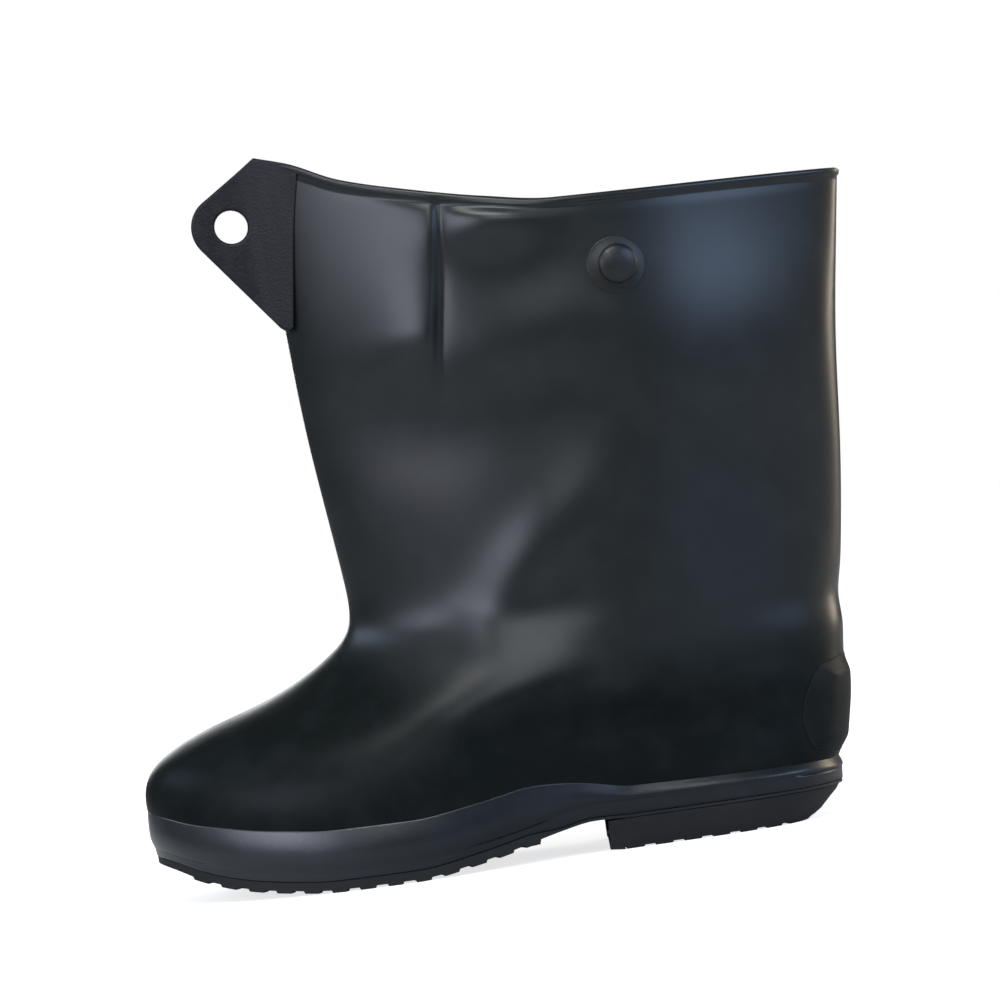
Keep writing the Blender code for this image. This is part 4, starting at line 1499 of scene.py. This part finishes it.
@dataclass
class StrapTab:
    """The pointed tab at the front of the collar: a skived lap on the shaft, and a round hole."""

    wall: SlackWall
    finish: Rubber
    thickness: float = 3.0 * MM
    drop: float = 75.0 * MM
    tip_drop: float = 27.5 * MM
    tip_reach: float = 17.5 * MM
    tip_radius: float = 14.0 * MM
    lap: float = 18.0 * MM
    lap_low: float = 4.0 * MM
    bend: float = 5.0 * MM
    bridge_behind: float = 7.0 * MM
    bridge_ahead: float = 10.0 * MM
    clearance: float = 0.25 * MM
    leaving_slope: float = 0.5
    hole_reach: float = 14.5 * MM
    hole_diameter: float = 14.0 * MM
    edge_radius: float = 1.1 * MM
    skive_start: float = -2.0 * MM
    skive_end: float = 15.0 * MM
    skive_depth: float = 0.9
    fall_start: float = -0.35
    fall_end: float = 0.9
    slope_step: float = 0.5 * MM
    columns: int = 180
    face_rows: int = 30
    edge_rows: int = 6
    tip_points: int = 41
    front_points: int = 401
    collar_points: int = 200

    def _front(self, z: np.ndarray) -> np.ndarray:
        """Where the shaft's front edge stands along X at each height.

        Args:
            z: Heights over the floor.

        Returns:
            One place for each height.
        """
        last = self.wall.last
        trial = np.linspace(last.throat, last.collar, self.front_points)
        line = last.wall(trial, 0.0)
        return np.interp(z, line[:, 2], line[:, 0])

    def _outline(self) -> np.ndarray:
        """The tab's outline from the side: reach ahead of the shaft's front, and height.

        It is a round tip with a tangent line to the collar and one to the foot of the lap, and a
        lap behind the front edge that narrows downwards.

        Returns:
            Points of reach and height, going round once.
        """
        top = self.wall.last.collar_height + self.wall.last.collar_rise
        tip = top - self.tip_drop
        touch = []
        for away in (self.tip_drop, self.drop - self.tip_drop):
            distance = math.hypot(away, self.tip_reach)
            touch.append(math.atan2(self.tip_reach, away) + math.asin(self.tip_radius / distance))
        spin = np.linspace(touch[0], -touch[1], self.tip_points)
        round_tip = np.column_stack([self.tip_reach + self.tip_radius * np.cos(spin),
                                     tip + self.tip_radius * np.sin(spin)])
        lower = np.array([[0.0, top - self.drop], [-self.lap_low, top - self.drop]])
        upper = np.array([[-self.lap, top], [0.0, top]])
        return np.vstack([round_tip, lower, upper])

    def _ray_lengths(self, middle: np.ndarray, angles: np.ndarray) -> np.ndarray:
        """Distance from the hole's middle to the outline in each direction.

        Args:
            middle: The hole's middle, as reach and height.
            angles: The directions, in radians.

        Returns:
            One distance for each direction.
        """
        outline = self._outline()
        ends = np.roll(outline, -1, axis=0)
        direction = np.column_stack([np.cos(angles), np.sin(angles)])
        best = np.full(len(angles), np.inf)
        for start, end in zip(outline, ends):
            run = end - start
            cross = direction[:, 0] * run[1] - direction[:, 1] * run[0]
            offset = start - middle
            with np.errstate(divide="ignore", invalid="ignore"):
                far = (offset[0] * run[1] - offset[1] * run[0]) / cross
                along = (offset[0] * direction[:, 1] - offset[1] * direction[:, 0]) / cross
            good = (far > 0) & (np.abs(along - 0.5) <= 0.5 + MERGE_DISTANCE)
            best = np.where(good & (far < best), far, best)
        return best

    def _wall_depth(self, behind: np.ndarray | float, height: np.ndarray) -> np.ndarray:
        """How far the slack wall stands from the middle plane, behind the shaft's front edge."""
        level, angle = self.wall.last.place_on_outer_side(self._front(height) + behind, height)
        return -self.wall.face(level, angle)[..., 1]

    def _free_depth(self, reach: np.ndarray | float) -> np.ndarray | float:
        """How far the free flap stands from the middle plane: it levels off on a soft bend."""
        away = -self.leaving_slope * reach
        return (away + np.sqrt(away ** 2 + self.bend ** 2)) / 2

    def _surface(self, reach: np.ndarray, height: np.ndarray, off: np.ndarray) -> np.ndarray:
        """Places points of the tab in space.

        The lap lies on the wall, the flap stands free, and a cubic bridges them from a little
        behind the shaft's front edge to a little ahead of it, with both their slopes.

        Args:
            reach: Distance ahead of the shaft's front edge.
            height: Height over the floor.
            off: Distance off the tab's inner face.

        Returns:
            Points.
        """
        step = self.slope_step
        lap = self._wall_depth(self.bridge_behind, height)
        lap_slope = (lap - self._wall_depth(self.bridge_behind + step, height)) / step
        free = self._free_depth(self.bridge_ahead)
        free_slope = (self._free_depth(self.bridge_ahead + step) - free) / step
        span = self.bridge_behind + self.bridge_ahead
        s = np.clip((reach + self.bridge_behind) / span, 0, 1)
        bridge = cubic_span(s, span, (lap, free), (lap_slope, free_slope))
        lying = self._wall_depth(np.maximum(-reach, self.bridge_behind), height)
        depth = np.where(reach > self.bridge_ahead, self._free_depth(reach), bridge)
        depth = np.where(reach < -self.bridge_behind, lying, depth)
        x = self._front(height) - reach
        return np.stack([x, -depth - self.clearance - off, height], axis=-1)

    def _collar_fall(self, reach: np.ndarray) -> np.ndarray:
        """How far the collar's edge has fallen behind the shaft's front edge.

        Args:
            reach: Distance ahead of the front edge, below 0 behind it.

        Returns:
            The fall at each place, 0 ahead of the edge.
        """
        last = self.wall.last
        angles = np.linspace(0, math.pi / 2, self.collar_points)
        edge = last.wall(last.collar, angles)
        return np.interp(-reach, edge[:, 0] - edge[0, 0], edge[0, 2] - edge[:, 2], left=0)

    def build(self) -> bpy.types.Object:
        """Makes the tab.

        Sections stand on rays from the hole's middle. Each goes out along the outer face, over a
        round edge, back along the inner face and through the hole's rounded edge. Behind the
        shaft's front the tab thins out to a skived edge, and its top follows the collar down.

        Returns:
            The tab's object.
        """
        top = self.wall.last.collar_height + self.wall.last.collar_rise
        middle = np.array([self.hole_reach, top - self.tip_drop])
        angles = full_turn(self.columns)
        length = self._ray_lengths(middle, angles)
        hole = self.hole_diameter / 2
        out = np.linspace(0, 1, self.face_rows)
        turn = np.linspace(0, math.pi, self.edge_rows + 2)[1:-1]
        radius = self.edge_radius

        def row(distance: np.ndarray | float, share: float) -> np.ndarray:
            """Points at a distance along every ray, at a share of the tab's thickness.

            Args:
                distance: How far the points are from the hole's middle.
                share: 0 on the inner face and 1 on the outer face.

            Returns:
                One point for each ray.
            """
            reach = middle[0] + np.cos(angles) * distance
            height = middle[1] + np.sin(angles) * distance
            low = smooth_step(self.fall_start, self.fall_end, (height - middle[1]) / self.tip_drop)
            skive = 1 - self.skive_depth * smooth_step(self.skive_start, self.skive_end, -reach)
            off = share * self.thickness * skive
            return self._surface(reach, height - self._collar_fall(reach) * low, off)

        flat = length - hole - 2 * radius
        steps = [(hole + radius + flat * s, 1.0) for s in out]
        steps += [(length - radius + radius * math.sin(a), 0.5 + 0.5 * math.cos(a)) for a in turn]
        steps += [(hole + radius + flat * s, 0.0) for s in out[::-1]]
        steps += [(hole + radius - radius * math.sin(a), 0.5 - 0.5 * math.cos(a)) for a in turn]
        rows = [row(distance, share) for distance, share in steps]
        profile = np.stack(rows).transpose(1, 0, 2)
        piece = add_piece("strap_tab_skin", profile, hoop_faces(*profile.shape[:2]))
        tidy_mesh(piece)
        piece.data.materials.append(self.finish.material())
        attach(piece, "root")
        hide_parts("strap_tab")
        return piece


@dataclass
class Button:
    """The stud on the outer side of the shaft, on a disc that follows the wall."""

    wall: SlackWall
    finish: Rubber
    back: float = 11.3 * MM
    drop: float = 30.0 * MM
    base_diameter: float = 24.0 * MM
    base_thickness: float = 1.2 * MM
    base_rows: int = 26
    under_rows: int = 6
    hub_share: float = 0.02
    flat_share: float = 0.45
    skive_depth: float = 0.92
    head_diameter: float = 16.5 * MM
    head_thickness: float = 4.6 * MM
    rim_height: float = 1.4 * MM
    rim_inset: float = 0.6 * MM
    dome_powers: tuple[float, float] = (0.85, 0.9)
    stem_diameter: float = 8.0 * MM
    stem_height: float = 3.8 * MM
    fillet: float = 0.9 * MM
    spokes: int = 72

    def _place(self) -> tuple[np.ndarray, np.ndarray]:
        """The button's middle on the wall, and the way it points.

        Returns:
            The middle, and a unit vector.
        """
        last = self.wall.last
        level, angle = last.place_on_outer_side(-self.back, last.collar_height - self.drop)
        return self.wall.face(level, angle), last.normal(level, angle)

    def base(self) -> bpy.types.Object:
        """Makes the disc: rings of points on the wall, thinned out towards its edge.

        Returns:
            The disc's object.
        """
        last = self.wall.last
        middle, _ = self._place()
        turn = full_turn(self.spokes)
        radius = self.base_diameter / 2
        share = np.linspace(self.hub_share, 1, self.base_rows)
        skive = 1 - self.skive_depth * smooth_step(self.flat_share, 1, share)
        rows = list(zip(share * radius, self.base_thickness * skive))
        rows += [(r, 0.0) for r in np.linspace(radius, self.hub_share * radius, self.under_rows)]
        points = []
        for distance, off in rows:
            x = middle[0] + distance * np.cos(turn)
            z = middle[2] + distance * np.sin(turn)
            level, angle = last.place_on_outer_side(x, z)
            points.append(self.wall.face(level, angle, last.fit_gap / 2 + off))
        piece = add_piece("button_disc", np.stack(points), capped_faces(len(rows), self.spokes))
        tidy_mesh(piece)
        return piece

    def stud(self) -> bpy.types.Object:
        """Makes the stud: its profile turned about the wall's normal.

        The profile goes over a full dome, round the rim and up a fillet to the stem. The powers
        below 1 make the dome squarer than an ellipse.

        Returns:
            The stud's object.
        """
        middle, out = self._place()
        stem, head = self.stem_diameter / 2, self.head_diameter / 2
        under, rim = self.stem_height, self.stem_height + self.rim_height
        top = under + self.head_thickness
        wide, tall = self.dome_powers
        dome = [(head * math.sin(a) ** wide, rim + (top - rim) * math.cos(a) ** tall)
                for a in np.linspace(0.04, math.pi / 2, 22)]
        edge = [(head - self.rim_inset * (1 - math.cos(a)), rim - (rim - under) * math.sin(a))
                for a in np.linspace(0.15, math.pi / 2, 7)]
        fillet = [(stem + self.fillet * (1 - math.sin(a)), under - self.fillet * (1 - math.cos(a)))
                  for a in np.linspace(0, math.pi / 2, 6)]
        profile = np.array(dome + edge + fillet + [(stem, 0.0)])
        spin = full_turn(self.spokes)
        side = unit(np.cross(out, (0, 0, 1)))
        up = np.cross(side, out)
        around = np.cos(spin)[:, None] * side + np.sin(spin)[:, None] * up
        lift = self.base_thickness + 2 * self.wall.last.fit_gap
        grid = (middle + profile[:, 0, None, None] * around[None]
                + (profile[:, 1] + lift)[:, None, None] * out)
        piece = add_piece("button_stud", grid, capped_faces(len(profile), self.spokes))
        tidy_mesh(piece)
        return piece

    def build(self) -> None:
        """Makes and dresses the disc and the stud."""
        material = self.finish.material()
        for piece, node in ((self.base(), "button_base"), (self.stud(), "button")):
            piece.data.materials.append(material)
            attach(piece, "root")
            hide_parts(node)


@dataclass(frozen=True)
class SoftBox:
    """A rectangular lamp that faces the boot."""

    name: str
    azimuth: float
    elevation: float
    distance: float
    width: float
    height: float
    power: float
    colour: tuple[float, float, float]

    def hang(self, target: Vector) -> None:
        """Puts the lamp in the scene.

        Azimuth 0 stands on the camera's side, and grows towards the heel.

        Args:
            target: What the lamp faces.
        """
        azimuth, elevation = math.radians(self.azimuth), math.radians(self.elevation)
        way = Vector((math.sin(azimuth) * math.cos(elevation),
                      -math.cos(azimuth) * math.cos(elevation), math.sin(elevation)))
        lamp = bpy.data.lights.new(self.name, "AREA")
        lamp.shape = "RECTANGLE"
        lamp.size, lamp.size_y = self.width, self.height
        lamp.energy = self.power
        lamp.color = self.colour
        holder = bpy.data.objects.new(self.name, lamp)
        holder.location = target + way * self.distance
        holder.rotation_mode = "QUATERNION"
        holder.rotation_quaternion = way.to_track_quat("Z", "Y")
        bpy.context.scene.collection.objects.link(holder)


@dataclass
class Studio:
    """A white floor, a white surround and soft lamps."""

    target: Vector
    lamps: tuple[SoftBox, ...]
    floor_radius: float = 9.0
    floor_sides: int = 96
    paper: float = 0.55
    # Painted glow of the floor: shadow_glow near the boot, rising to full beyond glow_end.
    glow_start: float = 0.15
    glow_end: float = 0.60
    shadow_glow: float = 0.75
    surround: float = 0.13
    seen_surround: float = 1.0

    def build(self) -> None:
        """Lays the floor, hangs the lamps and lights the surround."""
        self._floor()
        self._world()
        for lamp in self.lamps:
            lamp.hang(self.target)
        bpy.context.scene.view_settings.view_transform = "Standard"

    def _floor(self) -> None:
        """A wide round sheet of white paper with a painted glow that only the camera sees, which makes
        it white. The glow is weaker near the boot, so the floor is painted darker there and the lamps'
        shadows show.
        """
        turn = full_turn(self.floor_sides)
        rim = np.column_stack([np.cos(turn), np.sin(turn), np.zeros(len(turn))]) * self.floor_radius
        floor = add_piece("paper_floor", rim, [list(range(len(turn)))], smooth=False)
        recipe = Recipe("white_paper")
        recipe.set("Base Color", (self.paper, self.paper, self.paper, 1))
        recipe.set("Roughness", 0.9)
        recipe.set("Specular IOR Level", 0.1)
        away = recipe.node("ShaderNodeVectorMath", {"operation": "LENGTH"},
                           {0: recipe.coordinates()}, "Value")
        # Painted light: a glow for camera rays only. It is weaker within glow_start to glow_end of the
        # middle, which paints the floor darker round the boot.
        seen = recipe.node("ShaderNodeLightPath", {}, {}, "Is Camera Ray")
        further = away.ramp(self.glow_start, self.glow_end)
        glow = seen * (further * (1 - self.shadow_glow) + self.shadow_glow)
        recipe.set("Emission Color", recipe.mix(glow, (0, 0, 0), (1, 1, 1)))
        recipe.set("Emission Strength", 1.0)
        floor.data.materials.append(recipe.material)

    def _world(self) -> None:
        """A surround that the camera sees white and the rubber reflects dimly."""
        world = bpy.data.worlds.new("surround")
        bpy.context.scene.world = world
        world.use_nodes = True
        tree = world.node_tree
        shade = tree.nodes["Background"]
        path = tree.nodes.new("ShaderNodeLightPath")
        strength = tree.nodes.new("ShaderNodeMapRange")
        strength.inputs["To Min"].default_value = self.surround
        strength.inputs["To Max"].default_value = self.seen_surround
        tree.links.new(path.outputs["Is Camera Ray"], strength.inputs["Value"])
        tree.links.new(strength.outputs[0], shade.inputs["Strength"])
        shade.inputs["Color"].default_value = (1, 1, 1, 1)


@dataclass
class PhotoCamera:
    """The photograph's view: straight at the outer side, with the boot's sole running uphill."""

    target: Vector
    roll: float = math.radians(8.0)
    lens: float = 150.0
    sensor: float = 36.0
    frame_width: float = 0.425

    def build(self) -> bpy.types.Object:
        """Makes the camera and hands it to the scene.

        Returns:
            The camera's object.
        """
        data = bpy.data.cameras.new("photo_camera")
        data.lens = self.lens
        data.sensor_width = self.sensor
        data.sensor_fit = "HORIZONTAL"
        camera = bpy.data.objects.new("photo_camera", data)
        distance = self.frame_width * self.lens / self.sensor
        camera.location = self.target - Vector((0, distance, 0))
        level = Vector((0, -1, 0)).to_track_quat("Z", "Y")
        camera.rotation_mode = "QUATERNION"
        camera.rotation_quaternion = Quaternion((0, 1, 0), self.roll) @ level
        bpy.context.scene.collection.objects.link(camera)
        bpy.context.scene.camera = camera
        return camera


OUTER_FOLDS: tuple[Fold, ...] = (
    Overlap(Side.OUTER, ((-83, 290), (-85, 262), (-90, 226), (-96, 188)), 8.2, 31, 4.2,
            fade=0.38, lean=0.88),
    Crease(Side.OUTER, ((-81, 292), (-82, 262), (-87, 226), (-92, 204)), -1.2, 3.2,
           Form.CRISP, start=1.0),
    Swell(Side.OUTER, -58, 266, 5.0, 22, 13),
    Crease(Side.OUTER, ((-132, 184), (-84, 184), (-40, 190), (0, 202)), -2.4, 24, start=0.5),
    Swell(Side.OUTER, -50, 216, 1.8, 34, 20, lean=8),
    Crease(Side.OUTER, ((-14, 172), (-38, 150), (-60, 128), (-84, 102)), 3.7, 14,
           end=0.6, run=0.8),
    Crease(Side.OUTER, ((-124, 80), (-70, 72), (-10, 66), (24, 64)), 2.4, 16, start=0.1),
    Crease(Side.OUTER, ((-110, 56), (-25, 49), (58, 40)), -2.6, 11, start=0.3, end=0.2),
    Swell(Side.OUTER, 30, 206, 5.6, 52, 42),
)
"""Folds of the outer side, from the collar down. Their places and sizes are in millimetres."""

INNER_FOLDS: tuple[Fold, ...] = (
    Crease(Side.INNER, ((-98, 200), (-60, 190), (-24, 170), (4, 136), (48, 100)), 5.5, 9),
    Crease(Side.INNER, ((-60, 172), (-20, 146), (8, 112)), -4.5, 12),
    Swell(Side.INNER, 22, 172, -4.0, 26, 26, lean=-50),
    Swell(Side.INNER, -34, 106, 3.6, 14, 24, lean=30),
    Swell(Side.INNER, -110, 110, 2.6, 14, 30, lean=-10),
    Swell(Side.INNER, 10, 262, 3.0, 30, 22),
    Swell(Side.INNER, -60, 250, -3.5, 24, 30, lean=-30),
    Crease(Side.INNER, ((-110, 58), (-25, 50), (58, 44)), -2.2, 12, start=0.3, end=0.3),
)
"""Folds of the inner side, in millimetres too."""

UPPER_RUBBER = Rubber(
    "upper_black_rubber", (0.0058, 0.0080, 0.0078), (0.0100, 0.0126, 0.0124), 0.34, 0.44,
    specular=0.05, gloss_coat=0.85, foot_coat=0.06)
FOXING_RUBBER = Rubber(
    "foxing_black_rubber", (0.0058, 0.0086, 0.0112), (0.0090, 0.0128, 0.0168), 0.31, 0.39,
    specular=0.42, toe_coat=0.75)
SOLE_RUBBER = Rubber(
    "sole_black_rubber", (0.0065, 0.0070, 0.0072), (0.011, 0.011, 0.011), 0.50, 0.66)
PATCH_RUBBER = Rubber(
    "patch_black_rubber", (0.0068, 0.0066, 0.0084), (0.0120, 0.0110, 0.0148), 0.44, 0.58,
    grain_size=1.3 * MM, grain_depth=0.09 * MM, mottle_size=5 * MM, specular=0.28)
COUNTER_RUBBER = Rubber(
    "counter_black_rubber", (0.0062, 0.0082, 0.0080), (0.0105, 0.0128, 0.0126), 0.44, 0.54,
    grain_size=1.3 * MM, grain_depth=0.04 * MM, specular=0.10)
BUTTON_RUBBER = Rubber(
    "button_black_rubber", (0.0075, 0.0085, 0.0085), (0.012, 0.013, 0.013), 0.38, 0.46,
    wave_size=9 * MM, wave_depth=0.10 * MM)
INSOLE_RUBBER = Rubber(
    "insole_dark_rubber", (0.022, 0.022, 0.023), (0.034, 0.034, 0.034), 0.75, 0.90)

LAMPS = (
    SoftBox("window", -48, 18, 1.5, 0.5, 0.45, 6.2, (0.80, 0.82, 1.0)),
    SoftBox("room", 52, 24, 1.5, 1.0, 0.6, 11, (0.48, 0.66, 1.0)),
    SoftBox("ceiling", -18, 54, 1.7, 0.9, 0.4, 14, (0.96, 0.98, 1.0)),
    SoftBox("front", -8, 28, 1.7, 0.8, 0.4, 4.5, (0.90, 0.97, 1.0)),
    SoftBox("left_end", -92, 30, 1.6, 0.8, 0.5, 4.5, (0.60, 0.78, 1.0)),
    SoftBox("right_end", 112, 12, 1.6, 0.35, 0.8, 10, (1.0, 0.86, 0.68)),
    SoftBox("behind_left", -160, 14, 1.7, 0.5, 0.7, 6, (0.96, 0.98, 1.0)),
    SoftBox("behind_right", 150, 22, 1.7, 0.6, 0.6, 5, (0.96, 0.98, 1.0)),
)

VIEW_CENTRE = Vector((-0.072, 0.0, 0.151))
"""The middle of the boot, which the camera and the lamps face."""


def main() -> None:
    """Builds the overshoe's skins, then the studio and the camera, and hands the scene over."""
    logging.basicConfig(level=logging.INFO, format="%(name)s: %(message)s")
    for leftover in list(bpy.data.objects):
        bpy.data.objects.remove(leftover, do_unlink=True)
    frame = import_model()

    last = Last()
    wall = SlackWall(last, OUTER_FOLDS + INNER_FOLDS)
    Upper(wall, UPPER_RUBBER).build()
    LOG.info("upper built")
    Foxing(wall, FOXING_RUBBER).build()
    LOG.info("foxing built")
    Sole(Plan(last), SOLE_RUBBER, INSOLE_RUBBER).build(frame["nodes"])
    LOG.info("outsole, heel and insole built")
    Counter(wall, COUNTER_RUBBER).build()
    LOG.info("counter built")
    StrapTab(wall, PATCH_RUBBER).build()
    LOG.info("strap tab built")
    Button(wall, BUTTON_RUBBER).build()
    LOG.info("button built")
    Studio(VIEW_CENTRE, LAMPS).build()
    PhotoCamera(VIEW_CENTRE).build()

    bpy.context.view_layer.update()


if __name__ == "__main__":
    main()
